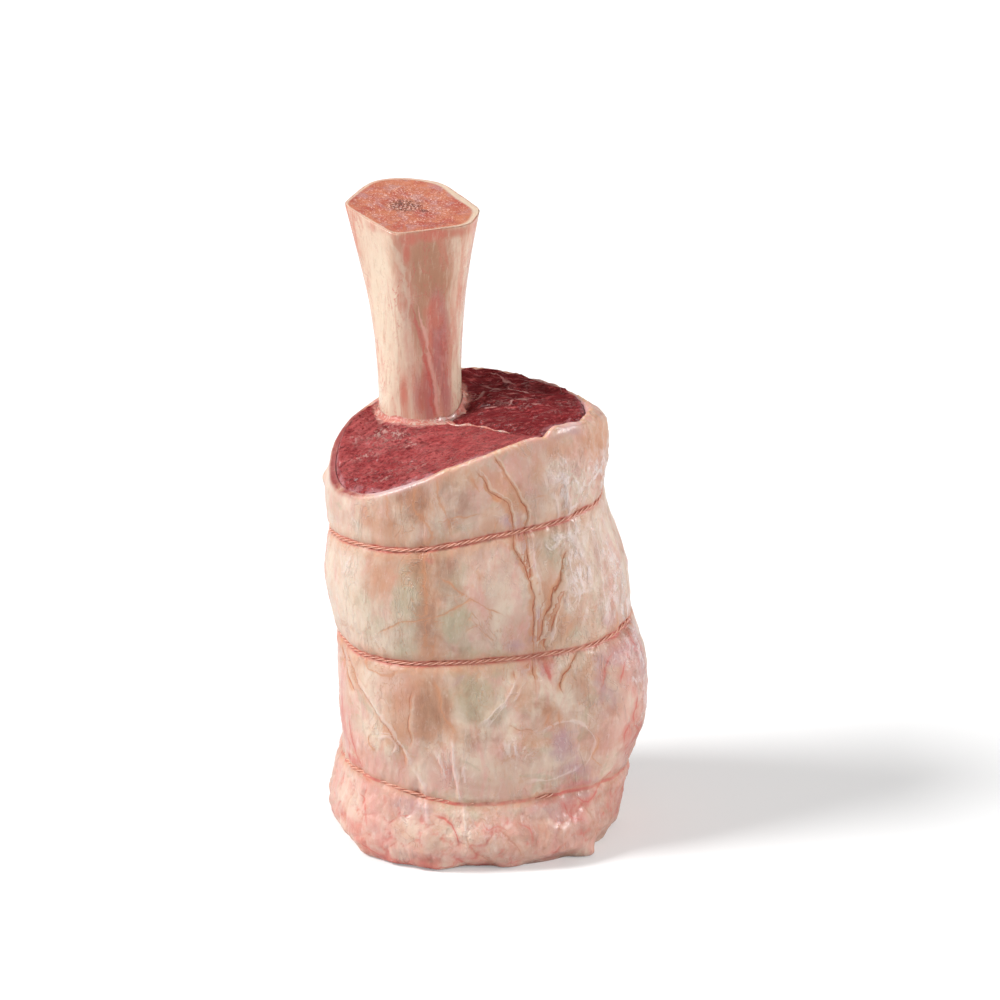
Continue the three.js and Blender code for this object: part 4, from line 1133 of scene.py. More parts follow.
def make_bone(material):
    bm = bent_grid(BONE_COLUMNS, sum(BONE_ROWS.values()), bone_shape)
    piece = close_and_keep("leg_bone", bm, "bone", material)
    mesh = piece.data
    places = point_places(mesh)
    height = np.minimum(places[:, 2], BONE["top"])
    middle_x, middle_y = bone_middle(height)
    dx, dy = places[:, 0] - middle_x, places[:, 1] - middle_y
    degrees = np.degrees(np.arctan2(dy, dx))
    row = point_values(mesh, "v") * sum(BONE_ROWS.values())
    face_row = BONE_ROWS["under"] + BONE_ROWS["buried"] + BONE_ROWS["shaft"] + 0.6 * BONE_ROWS["edge"]
    sawn_below = 1 - smooth_step(row, BONE_ROWS["under"] - 2, BONE_ROWS["under"])
    sawn = np.maximum(smooth_step(row, face_row - 1, face_row + 0.5), sawn_below)
    share = np.hypot(dx, dy) / np.maximum(bone_radius(np.radians(degrees), height), 1)
    edge_width = 0.03 + 0.11 * bell(turn(degrees, 22), 42)
    store(mesh, "sawn", sawn)
    store(mesh, "compact", sawn * smooth_step(share, 1 - edge_width - 0.035, 1 - edge_width + 0.015))
    away = np.hypot((places[:, 0] - MARROW[0]) / 1.3, places[:, 1] - MARROW[1])
    second = bell(np.hypot(places[:, 0] - SECOND_PORE[0], places[:, 1] - SECOND_PORE[1]), 2.6)
    store(mesh, "marrow", sawn * np.maximum(bell(away, 6.5), 0.8 * second))
    store(mesh, "spongy", sawn * bell(away, 17))
    for tint, patches in BONE_TINTS.items():
        store(mesh, f"tint_{tint}", (1 - sawn) * painted(degrees, places[:, 2], patches))
    for name, path in (("ridge", LIGAMENT), ("crest", HIGHLIT_CREST)):
        signed, near = bone_path(degrees, places[:, 2], path)
        store(mesh, f"{name}_line", signed)
        store(mesh, f"{name}_share", near * (1 - sawn))


# ------------------------------------------------------------------ the twine

STRANDS = 3
STRAND_RADIUS = 0.43
TWIST_RADIUS = 0.42
TURN_LENGTH = 12.0
TWINE_STEPS = 1000
LOOP_RADIUS = 62  # about, for counting the turns
LOOP_STEPS = 360  # one for each degree
KNOT_BEARING = 97
KNOT = {"cord": 0.95, "across": 0.85, "up": 0.75, "out": 0.95, "stand_off": 1.6}
SHOWN_BOTTOM = ((-162, -140), (-130, -104), (-62, -54))  # where the lowest loop comes out of the fat, in degrees


def loop_line(name):
    """The loop's centreline and its outward direction, pulled taut over the skin."""
    angle = np.linspace(0, 2 * math.pi, LOOP_STEPS, endpoint=False)
    z = loop_height(name, angle)
    floor = rounded_radius(angle, z) + skin_relief(angle, z)
    reach = 9
    window = np.hanning(2 * reach + 1)
    padded = np.concatenate([floor[-reach:], floor, floor[:reach]])
    taut = np.convolve(padded, window / window.sum(), "valid")
    lift = 0.55
    if name == "twine_bottom":
        degrees = np.degrees(angle)
        shown = sum(bell(turn(degrees, (a + b) / 2), 0.55 * (b - a)) for a, b in SHOWN_BOTTOM)
        lift = 0.5 - 1.35 * (1 - np.clip(shown + bell(turn(degrees, KNOT_BEARING), 16), 0, 1))
    return angle, z, taut + lift


def tube_ring(centre, side, up, radius, loop):
    return centre + radius * (np.cos(loop)[:, None] * side + np.sin(loop)[:, None] * up)


def strand_shape(name, strand):
    angles, heights, radii = loop_line(name)
    turns = round(2 * math.pi * LOOP_RADIUS / TURN_LENGTH)

    def shape(u, v):
        angle = 2 * math.pi * v
        height, radius = (np.interp(angle, angles, values, period=2 * math.pi) for values in (heights, radii))
        centre = round_axis(angle, radius, height)
        out = np.stack([np.cos(angle), np.sin(angle), 0 * angle], -1)
        up = np.zeros_like(out)
        up[:, 2] = 1
        phase = turns * angle + 2 * math.pi * strand / STRANDS
        centre = centre + TWIST_RADIUS * (np.cos(phase)[:, None] * out + np.sin(phase)[:, None] * up)
        return tube_ring(centre, out, up, STRAND_RADIUS, -2 * math.pi * u)

    return shape


def knot_parts(name):
    """The knot and its two tails, as (points, radii, whether the path is closed), in mm."""
    angle = math.radians(KNOT_BEARING)
    z = float(loop_height(name, np.array([angle]))[0])
    _, _, radii = loop_line(name)
    radius = radii[KNOT_BEARING] + KNOT["stand_off"]
    out = np.array([math.cos(angle), math.sin(angle), 0])
    across = np.array([-math.sin(angle), math.cos(angle), 0])
    up = np.array([0, 0, 1.0])
    centre = round_axis(np.array([angle]), np.array([radius]), np.array([z]))[0]
    t = np.linspace(0, 2 * math.pi, 60, endpoint=False)
    trefoil = (
        centre
        + KNOT["across"] * np.outer(np.sin(t) + 2 * np.sin(2 * t), across)
        + KNOT["up"] * np.outer(np.cos(t) - 2 * np.cos(2 * t), up)
        - KNOT["out"] * np.outer(np.sin(3 * t), out)
    )
    parts = [(trefoil, np.full(len(t), KNOT["cord"]), True)]
    for side, length in ((-1, 15), (1, 12)):
        s = np.linspace(0, 1, 26)
        turn_by = angle + side * (0.012 + 0.14 * s)
        drop = z - length * (0.05 + 0.75 * s**2 + 0.12 * s)
        skin = rounded_radius(turn_by, drop) + skin_relief(turn_by, drop)
        path = round_axis(turn_by, skin + 1.0 + 1.2 * (1 - s) ** 2, drop)
        parts.append((path, KNOT["cord"] + 0.35 * smooth_step(s, 0.86, 1.0), False))
    return parts


def path_tube(points, radii, closed):
    """Bends a grid into a tube along a path of points. Also returns how many rows it takes."""
    count = len(points)
    rows = count if closed else count - 1
    ahead = np.roll(points, -1, 0) - np.roll(points, 1, 0)
    if not closed:
        ahead[0], ahead[-1] = points[1] - points[0], points[-1] - points[-2]
    ahead /= np.linalg.norm(ahead, axis=1)[:, None]
    side = np.cross(ahead, (0.3, 0.2, 0.93))
    side /= np.linalg.norm(side, axis=1)[:, None]
    up = np.cross(ahead, side)

    def shape(u, v):
        i = np.round(v * rows).astype(int) % count
        return tube_ring(points[i], side[i], up[i], radii[i][:, None], 2 * math.pi * u)

    return shape, rows


def make_twine(name, material):
    bm = bmesh.new()
    for strand in range(STRANDS):
        add_bent(bm, 7, TWINE_STEPS, strand_shape(name, strand))
    for points, radii, closed in knot_parts(name):
        shape, rows = path_tube(points, radii, closed)
        add_bent(bm, 8, rows, shape)
    piece = close_and_keep(f"{name}_cord", bm, name, material)
    places = point_places(piece.data)
    angles, heights, radii = loop_line(name)
    x, y = places[:, 0] - MEAT_AXIS[0], places[:, 1] - MEAT_AXIS[1]
    angle = np.arctan2(y, x) % (2 * math.pi)
    across, up = np.hypot(x, y) - np.interp(angle, angles, radii), places[:, 2] - np.interp(angle, angles, heights)
    # How far out each point lies on the cord; the paint darkens the inner faces as painted shade and lightens the
    # crowns as painted highlight.
    store(piece.data, "outer", np.clip(np.hypot(across, up) / (TWIST_RADIUS + STRAND_RADIUS), 0, 1))


# ------------------------------------------------------------------ paints

COLOURS = {
    "cream": (0.75, 0.60, 0.475),
    "skin": (0.61, 0.385, 0.295),
    "pink": (0.70, 0.34, 0.29),
    "tan": (0.60, 0.30, 0.18),
    "ochre": (0.66, 0.38, 0.23),
    "grey_green": (0.48, 0.40, 0.27),
    "lilac": (0.50, 0.29, 0.31),
    "blood": (0.60, 0.13, 0.10),
    "white": (0.86, 0.74, 0.68),
    "sheen": (0.88, 0.73, 0.70),
    "veil": (0.72, 0.52, 0.53),
    "raw": (0.33, 0.05, 0.05),
    "vein": (0.60, 0.27, 0.14),
    "crease": (0.52, 0.15, 0.065),
    "shade": (0.30, 0.13, 0.07),
    "membrane": (0.62, 0.34, 0.36),
    "lean": (0.365, 0.047, 0.049),
    "lean_light": (0.47, 0.092, 0.090),
    "lean_dark": (0.15, 0.009, 0.012),
    "lean_back": (0.185, 0.010, 0.013),
    "lean_back_light": (0.205, 0.013, 0.016),
    "lean_back_dark": (0.14, 0.006, 0.009),
    "sinew": (0.66, 0.34, 0.31),
    "fleck": (0.80, 0.52, 0.46),
    "cuff": (0.66, 0.27, 0.21),
    "bone_cream": (0.83, 0.66, 0.50),
    "bone_skin": (0.69, 0.33, 0.23),
    "bone_tan": (0.50, 0.23, 0.13),
    "bone_purple": (0.55, 0.20, 0.18),
    "bone_red": (0.64, 0.17, 0.11),
    "cord": (0.80, 0.42, 0.34),
    "sponge": (0.50, 0.10, 0.06),
    "sponge_edge": (0.62, 0.20, 0.10),
    "sponge_pale": (0.90, 0.64, 0.56),
    "sponge_dark": (0.10, 0.035, 0.03),
    "twine": (0.66, 0.27, 0.17),
    "twine_pale_and_glint": (0.92, 0.58, 0.46),
    "twine_stain_and_shade": (0.38, 0.08, 0.05),
}


class Nodes:
    """Short ways to add nodes to a material or a node group."""

    def __init__(self, tree):
        self.tree = tree

    def add(self, kind, inputs=(), **settings):
        node = self.tree.nodes.new(f"ShaderNode{kind}")
        for key, value in settings.items():
            setattr(node, key, value)
        for key, value in dict(inputs).items():
            self.put(node.inputs[key], value)
        return node

    def put(self, socket, value):
        if isinstance(value, bpy.types.NodeSocket):
            self.tree.links.new(value, socket)
        elif isinstance(value, tuple) and len(value) == 3 and socket.type == "RGBA":
            socket.default_value = (*value, 1)
        else:
            socket.default_value = value

    def math(self, operation, first, second=0.0, clamp=False):
        return self.add("Math", {0: first, 1: second}, operation=operation, use_clamp=clamp).outputs[0]

    def times(self, first, second):
        return self.math("MULTIPLY", first, second)

    def plus(self, first, second):
        return self.math("ADD", first, second)

    def minus(self, first, second):
        return self.math("SUBTRACT", first, second)

    def total(self, *parts):
        """The sum of values, each with its weight."""
        whole, *others = [self.times(value, weight) for value, weight in parts]
        for other in others:
            whole = self.plus(whole, other)
        return whole

    def between(self, value, low, high, start=0.0, end=1.0):
        inputs = {"Value": value, "From Min": low, "From Max": high, "To Min": start, "To Max": end}
        return self.add("MapRange", inputs, interpolation_type="SMOOTHSTEP").outputs[0]

    def mix(self, share, first, second):
        node = self.add("Mix", data_type="RGBA")
        for socket, value in zip((node.inputs[0], node.inputs[6], node.inputs[7]), (share, first, second)):
            self.put(socket, value)
        return node.outputs[2]

    def over(self, colour, paint, share, most=None):
        """The colour with a named paint laid over it, by a share and at most so much."""
        return self.mix(share if most is None else self.times(share, most), colour, COLOURS[paint])

    def stretched(self, vector, scale):
        return self.add("Mapping", {"Vector": vector, "Scale": scale}).outputs[0]

    def moved(self, vector, by):
        return self.add("Mapping", {"Vector": vector, "Location": by}).outputs[0]

    def noise(self, vector, scale, detail=3.0, roughness=0.55, distortion=0.0):
        inputs = {"Vector": vector, "Scale": scale, "Detail": detail, "Roughness": roughness, "Distortion": distortion}
        return self.add("TexNoise", inputs).outputs[0]

    def cells(self, vector, scale):
        return self.add("TexVoronoi", {"Vector": vector, "Scale": scale}).outputs[0]

    def point(self, name):
        return self.add("Attribute", attribute_name=name).outputs["Fac"]

    def bump(self, height, strength, distance):
        return self.add("Bump", {"Height": height, "Strength": strength, "Distance": distance}).outputs[0]

    def group(self, name, **inputs):
        node = self.add("Group", node_tree=bpy.data.node_groups[name])
        for key, value in inputs.items():
            self.put(node.inputs[key], value)
        return node.outputs

    def patch(self, vector, tint, scale, uneven):
        """A patch stored on the points, with an uneven edge."""
        patch = self.point(f"tint_{tint}")
        return self.group("uneven_patch", Vector=vector, Patch=patch, Scale=scale, Uneven=uneven)["Share"]

    def line(self, vector, kind, width, waver, beside=0.0):
        """A wavering line along the stored paths of one kind, or beside them."""
        off, share = self.point(f"{kind}_line"), self.point(f"{kind}_share")
        off = self.plus(off, beside) if beside else off
        return self.group("wavering_line", Vector=vector, Distance=off, Share=share, Width=width, Waver=waver)["Line"]

    def wisp(self, vector, scale, width, spread):
        return self.group("fine_wisps", Vector=vector, Scale=scale, Width=width, Spread=spread)["Wisp"]

    def film(self, vector, scale, wet, dry):
        return self.group("moist_film", Vector=vector, Scale=scale, Wet=wet, Dry=dry)


def new_group(name, inputs, outputs):
    """An empty shader node group with named sockets. Inputs are (name, kind, value)."""
    tree = bpy.data.node_groups.new(name, "ShaderNodeTree")
    for label, kind, value in inputs:
        socket = tree.interface.new_socket(name=label, in_out="INPUT", socket_type=f"NodeSocket{kind}")
        if value is not None:
            socket.default_value = value
    for label, kind in outputs:
        tree.interface.new_socket(name=label, in_out="OUTPUT", socket_type=f"NodeSocket{kind}")
    nodes = Nodes(tree)
    return nodes, tree.nodes.new("NodeGroupInput").outputs, tree.nodes.new("NodeGroupOutput").inputs


def patch_group():
    """A painted patch with an uneven edge, broken up by noise."""
    inputs = [("Vector", "Vector", None), ("Patch", "Float", 0.0), ("Scale", "Float", 90.0), ("Uneven", "Float", 0.5)]
    nodes, given, out = new_group("uneven_patch", inputs, [("Share", "Float")])
    ragged = nodes.noise(given["Vector"], given["Scale"], 5.0, 0.62, 0.6)
    offset = nodes.times(nodes.minus(ragged, 0.5), given["Uneven"])
    shifted = nodes.plus(given["Patch"], nodes.times(offset, 3.0))
    near = nodes.between(given["Patch"], 0.0, 0.25)
    nodes.put(out["Share"], nodes.times(nodes.between(shifted, 0.0, 1.0), near))


def line_group():
    """A wavering line where a stored distance passes through zero. The distance is a share of the line's width."""
    inputs = [
        ("Vector", "Vector", None), ("Distance", "Float", NO_LINE), ("Share", "Float", 0.0),
        ("Width", "Float", 1.0), ("Waver", "Float", 1.2),
    ]
    nodes, given, out = new_group("wavering_line", inputs, [("Line", "Float")])
    waver = nodes.minus(nodes.noise(given["Vector"], 300.0, 4.0, 0.6), 0.5)
    off = nodes.plus(given["Distance"], nodes.times(waver, given["Waver"]))
    uneven = nodes.between(nodes.noise(given["Vector"], 120.0, 3.0), 0.34, 0.64, 0.2, 1.35)
    breadth = nodes.times(given["Width"], uneven)
    core = nodes.math("SUBTRACT", 1.0, nodes.math("DIVIDE", nodes.math("ABSOLUTE", off), breadth), clamp=True)
    nodes.put(out["Line"], nodes.math("MULTIPLY", nodes.between(core, 0.0, 0.8), given["Share"], clamp=True))


def wisp_group():
    """Fine threads that come and go: where a noise passes through its middle."""
    inputs = [("Vector", "Vector", None), ("Scale", "Float", 60.0), ("Width", "Float", 0.02), ("Spread", "Float", 0.5)]
    nodes, given, out = new_group("fine_wisps", inputs, [("Wisp", "Float")])
    field = nodes.noise(given["Vector"], given["Scale"], 4.0, 0.62, 1.2)
    off = nodes.math("ABSOLUTE", nodes.minus(field, 0.5))
    thread = nodes.between(nodes.math("DIVIDE", off, given["Width"]), 1.0, 0.0)
    broad = nodes.noise(given["Vector"], nodes.times(given["Scale"], 0.7), 2.0)
    gate = nodes.minus(broad, given["Spread"])
    nodes.put(out["Wisp"], nodes.times(thread, nodes.between(gate, -0.04, 0.07)))


def moist_group():
    """A wet film: roughness that pools and dries, and the small unevenness under it."""
    inputs = [("Vector", "Vector", None), ("Scale", "Float", 160.0), ("Wet", "Float", 0.22), ("Dry", "Float", 0.5)]
    nodes, given, out = new_group("moist_film", inputs, [("Roughness", "Float"), ("Height", "Float")])
    pools = nodes.between(nodes.noise(given["Vector"], given["Scale"], 3.0, 0.6, 0.3), 0.38, 0.62)
    spread = nodes.minus(given["Dry"], given["Wet"])
    nodes.put(out["Roughness"], nodes.minus(given["Dry"], nodes.times(pools, spread)))
    fine = nodes.noise(given["Vector"], nodes.times(given["Scale"], 6.0), 4.0, 0.6)
    coarse = nodes.noise(given["Vector"], nodes.times(given["Scale"], 1.7), 3.0, 0.5)
    nodes.put(out["Height"], nodes.plus(nodes.times(fine, 0.3), coarse))


def new_paint(name, roughness=0.4, coat=0.3, coat_roughness=0.18, subsurface=0.0, specular=0.5):
    """A material with a Principled shader, its constant values set on the shader's own sockets."""
    material = bpy.data.materials.new(name)
    material.use_nodes = True
    tree = material.node_tree
    tree.nodes.clear()
    nodes = Nodes(tree)
    shader = nodes.add("BsdfPrincipled")
    nodes.put(shader.inputs["Roughness"], roughness)
    nodes.put(shader.inputs["Coat Weight"], coat)
    nodes.put(shader.inputs["Coat Roughness"], coat_roughness)
    nodes.put(shader.inputs["Specular IOR Level"], specular)
    nodes.put(shader.inputs["Subsurface Weight"], subsurface)
    shader.inputs["Subsurface Radius"].default_value = (1.0, 0.45, 0.28)
    nodes.put(shader.inputs["Subsurface Scale"], 0.004)
    output = nodes.add("OutputMaterial")
    tree.links.new(shader.outputs[0], output.inputs[0])
    vector = nodes.add("TexCoord").outputs["Object"]
    return material, nodes, shader, vector


def cover_ground(nodes, vector):
    """The skin's ground colour: cream and skin, mottled at several sizes."""
    broad = nodes.noise(vector, 38.0, 4.0, 0.6, 0.5)
    colour = nodes.over(COLOURS["cream"], "skin", nodes.between(broad, 0.35, 0.65))
    streaks = nodes.noise(nodes.stretched(vector, (1, 1, 0.28)), 120.0, 5.0, 0.62, 0.8)
    colour = nodes.over(colour, "pink", nodes.between(streaks, 0.46, 0.68, 0.0, 0.6))
    tan = nodes.noise(nodes.moved(vector, (0.31, 0.12, 0.05)), 62.0, 5.0, 0.65, 1.0)
    colour = nodes.over(colour, "tan", nodes.between(tan, 0.54, 0.66, 0.0, 0.55))
    green = nodes.noise(nodes.moved(vector, (0.07, 0.43, 0.21)), 75.0, 4.0, 0.6, 0.8)
    return nodes.over(colour, "grey_green", nodes.between(green, 0.56, 0.68, 0.0, 0.5)), streaks


TINT_LOOKS = (  # stored patch, colour, size of its noise, unevenness, strength
    ("pink", "pink", 80.0, 0.5, 0.85), ("bright", "cream", 70.0, 0.45, 1.0), ("green", "grey_green", 95.0, 0.45, 1.0),
    ("tan", "tan", 75.0, 0.45, 1.0), ("shade", "shade", 90.0, 0.6, 0.7), ("lilac", "lilac", 120.0, 0.5, 0.85),
    ("red", "blood", 170.0, 0.6, 0.75),
)
COVER_LINES = (  # kind, width, waver
    ("ridge", 1.5, 1.4), ("vein", 0.9, 1.8), ("crease", 0.75, 1.5), ("red", 1.0, 1.4),
    ("crease", 4.6, 5.0), ("red", 4.5, 4.0), ("vein", 3.2, 2.4),  # softly round the lines: stain and painted shade round the creases, smudge and under
)


def rim_colour(nodes, vector, raw):
    """The cut upper edge of the cover: pink and ochre, with a veil of membrane at the left and a raw part."""
    mottled = nodes.noise(vector, 150.0, 5.0, 0.65, 1.0)
    colour = nodes.over(COLOURS["pink"], "ochre", nodes.between(mottled, 0.40, 0.60))
    flecked = nodes.noise(nodes.moved(vector, (0.4, 0.1, 0.3)), 210.0, 4.0, 0.6, 1.5)
    colour = nodes.over(colour, "cream", nodes.between(flecked, 0.52, 0.64, 0.0, 0.8))
    colour = nodes.over(colour, "veil", nodes.patch(vector, "veil", 200.0, 0.6), 0.85)
    return nodes.over(colour, "raw", raw)


def cover_paint():
    material, nodes, shader, vector = new_paint("fat_and_silverskin", coat_roughness=0.2, subsurface=0.15)
    colour, streaks = cover_ground(nodes, vector)
    # The patches include painted shade, and painted light and highlights in the pale cream ones.
    for tint, paint, scale, uneven, most in TINT_LOOKS:
        share = nodes.patch(vector, tint, scale, uneven)
        colour = nodes.over(colour, paint, share, nodes.between(streaks, 0.32, 0.62, 0.6 * most, most))
    shine = nodes.patch(vector, "shine", 60.0, 0.5)
    swirls = nodes.noise(nodes.stretched(vector, (1, 1, 0.5)), 125.0, 5.0, 0.65, 1.6)
    # Painted highlights: pale sheen swirls over the shiny patches, with pink between them.
    colour = nodes.over(colour, "sheen", shine, nodes.between(swirls, 0.50, 0.59, 0.0, 0.85))
    colour = nodes.over(colour, "pink", shine, nodes.between(swirls, 0.48, 0.38, 0.0, 0.55))
    fine = nodes.noise(nodes.stretched(vector, (1, 1, 0.5)), 420.0, 5.0, 0.7, 0.5)
    colour = nodes.over(colour, "tan", nodes.between(fine, 0.52, 0.70, 0.0, 0.34))
    colour = nodes.over(colour, "white", nodes.between(fine, 0.46, 0.28, 0.0, 0.24))
    upright = nodes.stretched(vector, (1, 1, 0.4))
    brown = nodes.wisp(upright, 55.0, 0.012, 0.52)
    pale = nodes.wisp(nodes.moved(upright, (0.5, 0.2, 0.9)), 80.0, 0.022, 0.50)
    # Round the creases the fifth of these lays orange-brown stain and partly painted shade.
    ridge, vein, crease, red, crease_stain_and_shade, smudge, under = (nodes.line(vector, *looks) for looks in COVER_LINES)
    # A pale cream line beside each crease: a painted highlight on its raised lip.
    lip = nodes.line(vector, "crease", 1.8, 3.0, beside=-2.4)
    worn = nodes.between(nodes.noise(vector, 260.0, 3.0, 0.6), 0.36, 0.56, 0.35, 0.95)
    # The sheen laid on the ridges is partly painted highlight.
    for paint, share, most in (
        ("vein", brown, 0.4), ("white", pale, 0.12), ("sheen", ridge, 0.4), ("tan", under, 0.3), ("vein", vein, 0.65),
        ("vein", crease_stain_and_shade, 0.75), ("cream", lip, 0.5), ("crease", crease, worn), ("blood", smudge, 0.35),
        ("blood", red, 0.8),
    ):
        colour = nodes.over(colour, paint, share, most)
    # Blood red in the valleys between the fat lumps: partly the fat's own veins, partly painted shade.
    shaded_valley = nodes.between(nodes.point("lumps"), 0.58, 0.15, 0.0, 0.75)
    colour = nodes.over(colour, "blood", shaded_valley, nodes.between(nodes.noise(vector, 150.0, 3.0), 0.4, 0.62))
    # Tan round the twine, partly stain and partly a painted shadow beside the cords; blood right at them.
    from_loop = nodes.point("loop_distance")
    colour = nodes.over(colour, "tan", nodes.between(from_loop, 7.5, 1.2, 0.0, 1.0), streaks)
    stain = nodes.between(nodes.noise(vector, 80.0, 3.0), 0.35, 0.6, 0.35, 1.0)
    colour = nodes.over(colour, "blood", nodes.between(from_loop, 2.3, 0.8, 0.0, 0.9), stain)
    raw = nodes.patch(vector, "raw", 200.0, 0.6)
    colour = nodes.mix(nodes.times(nodes.point("rim"), 0.95), colour, rim_colour(nodes, vector, raw))
    colour = nodes.over(colour, "membrane", nodes.point("inside"), nodes.between(raw, 0.0, 1.0, 0.8, 0.1))
    nodes.put(shader.inputs["Base Color"], colour)
    film = nodes.film(vector, 110.0, 0.30, 0.50)
    nodes.put(shader.inputs["Roughness"], nodes.minus(film["Roughness"], nodes.times(shine, 0.08)))
    nodes.put(shader.inputs["Coat Weight"], nodes.between(shine, 0.0, 1.0, 0.26, 0.75))
    wrinkles = nodes.noise(nodes.stretched(vector, (1, 1, 0.3)), 320.0, 4.0, 0.6, 0.8)
    height = nodes.total(
        (wrinkles, 0.7), (film["Height"], 0.45), (nodes.times(swirls, shine), 4.0), (crease, -0.6), (lip, 0.12),
        (vein, -0.12), (brown, -0.25), (pale, 0.35), (ridge, 0.15),
    )
    nodes.put(shader.inputs["Normal"], nodes.bump(height, 0.7, 0.0009))
    return material


def lean_paint(name, tones, stretch, turned, marbling, coat, softened, sinews):
    """Cut lean meat. tones are its light, middle and dark colours; stretch and turned lay its fibres."""
    light, middle, dark = tones
    material, nodes, shader, vector = new_paint(name, coat=coat, coat_roughness=0.1, subsurface=0.05, specular=0.16)
    laid = nodes.add("Mapping", {"Vector": vector, "Rotation": (0, 0, turned), "Scale": stretch}).outputs[0]
    broad = nodes.noise(vector, 50.0, 5.0, 0.65, 0.8)
    colour = nodes.over(COLOURS[middle], light, nodes.between(broad, 0.43, 0.57))
    fibre = nodes.noise(laid, 260.0, 6.0, 0.72, 0.9)
    colour = nodes.over(colour, dark, nodes.between(fibre, 0.52, 0.38, 0.0, softened))
    # Painted shade in the hollows of the relief.
    colour = nodes.over(colour, dark, nodes.point("shaded_valley"), 0.8 * softened)
    grainy = nodes.noise(laid, 700.0, 4.0, 0.7)
    colour = nodes.over(colour, "lean_light", nodes.between(grainy, 0.53, 0.63, 0.0, 0.85))
    colour = nodes.over(colour, dark, nodes.between(grainy, 0.49, 0.37, 0.0, 0.9))
    wisp = nodes.wisp(laid, 90.0, 0.018, 0.53)
    small = nodes.wisp(nodes.moved(laid, (0.3, 0.7, 0.1)), 260.0, 0.03, 0.55)
    threads = nodes.math("MAXIMUM", wisp, nodes.times(small, 0.8))
    colour = nodes.over(colour, "sinew", threads, marbling)
    if sinews:
        colour = nodes.over(colour, "sinew", nodes.line(vector, "sinew", 0.8, 1.6), sinews)
    specks = nodes.between(nodes.noise(vector, 480.0, 4.0, 0.7), 0.51, 0.58)
    speckle = nodes.times(specks, nodes.point("flecks"))
    colour = nodes.over(colour, "fleck", speckle, 0.9)
    uneven = nodes.noise(vector, 190.0, 4.0, 0.65)
    border = nodes.times(nodes.point("border"), nodes.between(uneven, 0.40, 0.62, 0.0, 0.6))
    colour = nodes.over(colour, "membrane", border)
    from_bone = nodes.plus(nodes.point("from_bone"), nodes.times(uneven, 6.0))
    colour = nodes.over(colour, "pink", nodes.between(from_bone, 5.6, 3.2), 0.8)
    nodes.put(shader.inputs["Base Color"], colour)
    film = nodes.film(vector, 170.0, 0.24, 0.55)
    nodes.put(shader.inputs["Roughness"], film["Roughness"])
    height = nodes.total((fibre, 1.3), (grainy, 0.7), (nodes.plus(threads, speckle), 0.4))
    nodes.put(shader.inputs["Normal"], nodes.bump(height, 0.9, 0.0010))
    return material


def seam_paint():
    material, nodes, shader, vector = new_paint("connective_tissue", coat=0.4, coat_roughness=0.16, subsurface=0.12)
    broad = nodes.noise(vector, 150.0, 5.0, 0.65, 0.6)
    colour = nodes.over(COLOURS["cuff"], "white", nodes.between(broad, 0.50, 0.66, 0.0, 0.8))
    red = nodes.between(nodes.noise(nodes.moved(vector, (0.2, 0.4, 0.1)), 210.0, 5.0, 0.65), 0.42, 0.60, 0.0, 0.7)
    colour = nodes.over(colour, "blood", red)
    thread = nodes.wisp(vector, 190.0, 0.05, 0.44)
    colour = nodes.over(colour, "cream", thread, 0.8)
    nodes.put(shader.inputs["Base Color"], colour)
    film = nodes.film(vector, 240.0, 0.22, 0.5)
    nodes.put(shader.inputs["Roughness"], film["Roughness"])
    nodes.put(shader.inputs["Normal"], nodes.bump(film["Height"], 0.7, 0.0009))
    return material


BONE_TINT_LOOKS = (  # stored patch, colour, size of its noise, unevenness, strength
    ("cream", "bone_cream", 60.0, 0.4, 0.9), ("tan", "bone_tan", 55.0, 0.4, 1.0),
    ("purple", "bone_purple", 90.0, 0.5, 1.0), ("red", "bone_red", 110.0, 0.5, 0.9),
)


def sawn_paint(nodes, vector):
    """The spongy sawn end, paler and harder at its edge, with open pores in the middle."""
    grit = nodes.noise(vector, 1000.0, 4.0, 0.75, 0.6)
    pores = nodes.cells(vector, 1100.0)
    spongy = nodes.point("spongy")
    broad = nodes.noise(vector, 110.0, 5.0, 0.65, 0.5)
    colour = nodes.over(COLOURS["sponge"], "sponge_edge", nodes.between(broad, 0.36, 0.62))
    greyer = nodes.noise(nodes.moved(vector, (0.6, 0.3, 0.2)), 140.0, 5.0, 0.65, 0.8)
    colour = nodes.over(colour, "lilac", nodes.between(greyer, 0.50, 0.62, 0.0, 0.45))
    colour = nodes.over(colour, "sponge_edge", nodes.between(spongy, 0.25, 0.05, 0.0, 0.6))
    glint = nodes.times(nodes.between(grit, 0.54, 0.60), nodes.between(spongy, 0.0, 0.6, 0.2, 0.8))
    colour = nodes.over(colour, "sponge_pale", glint)
    pitted = nodes.times(nodes.between(pores, 0.30, 0.12), nodes.between(spongy, 0.1, 0.8, 0.15, 0.8))
    colour = nodes.over(colour, "blood", pitted)
    holes = nodes.times(nodes.between(grit, 0.54, 0.46), nodes.between(nodes.point("marrow"), 0.2, 0.75))
    colour = nodes.over(colour, "sponge_dark", holes, 0.92)
    shine = nodes.times(nodes.between(grit, 0.55, 0.62), nodes.between(nodes.point("marrow"), 0.2, 0.8))
    colour = nodes.over(colour, "white", shine, 0.7)
    return nodes.over(colour, "bone_cream", nodes.point("compact"), 0.9), grit


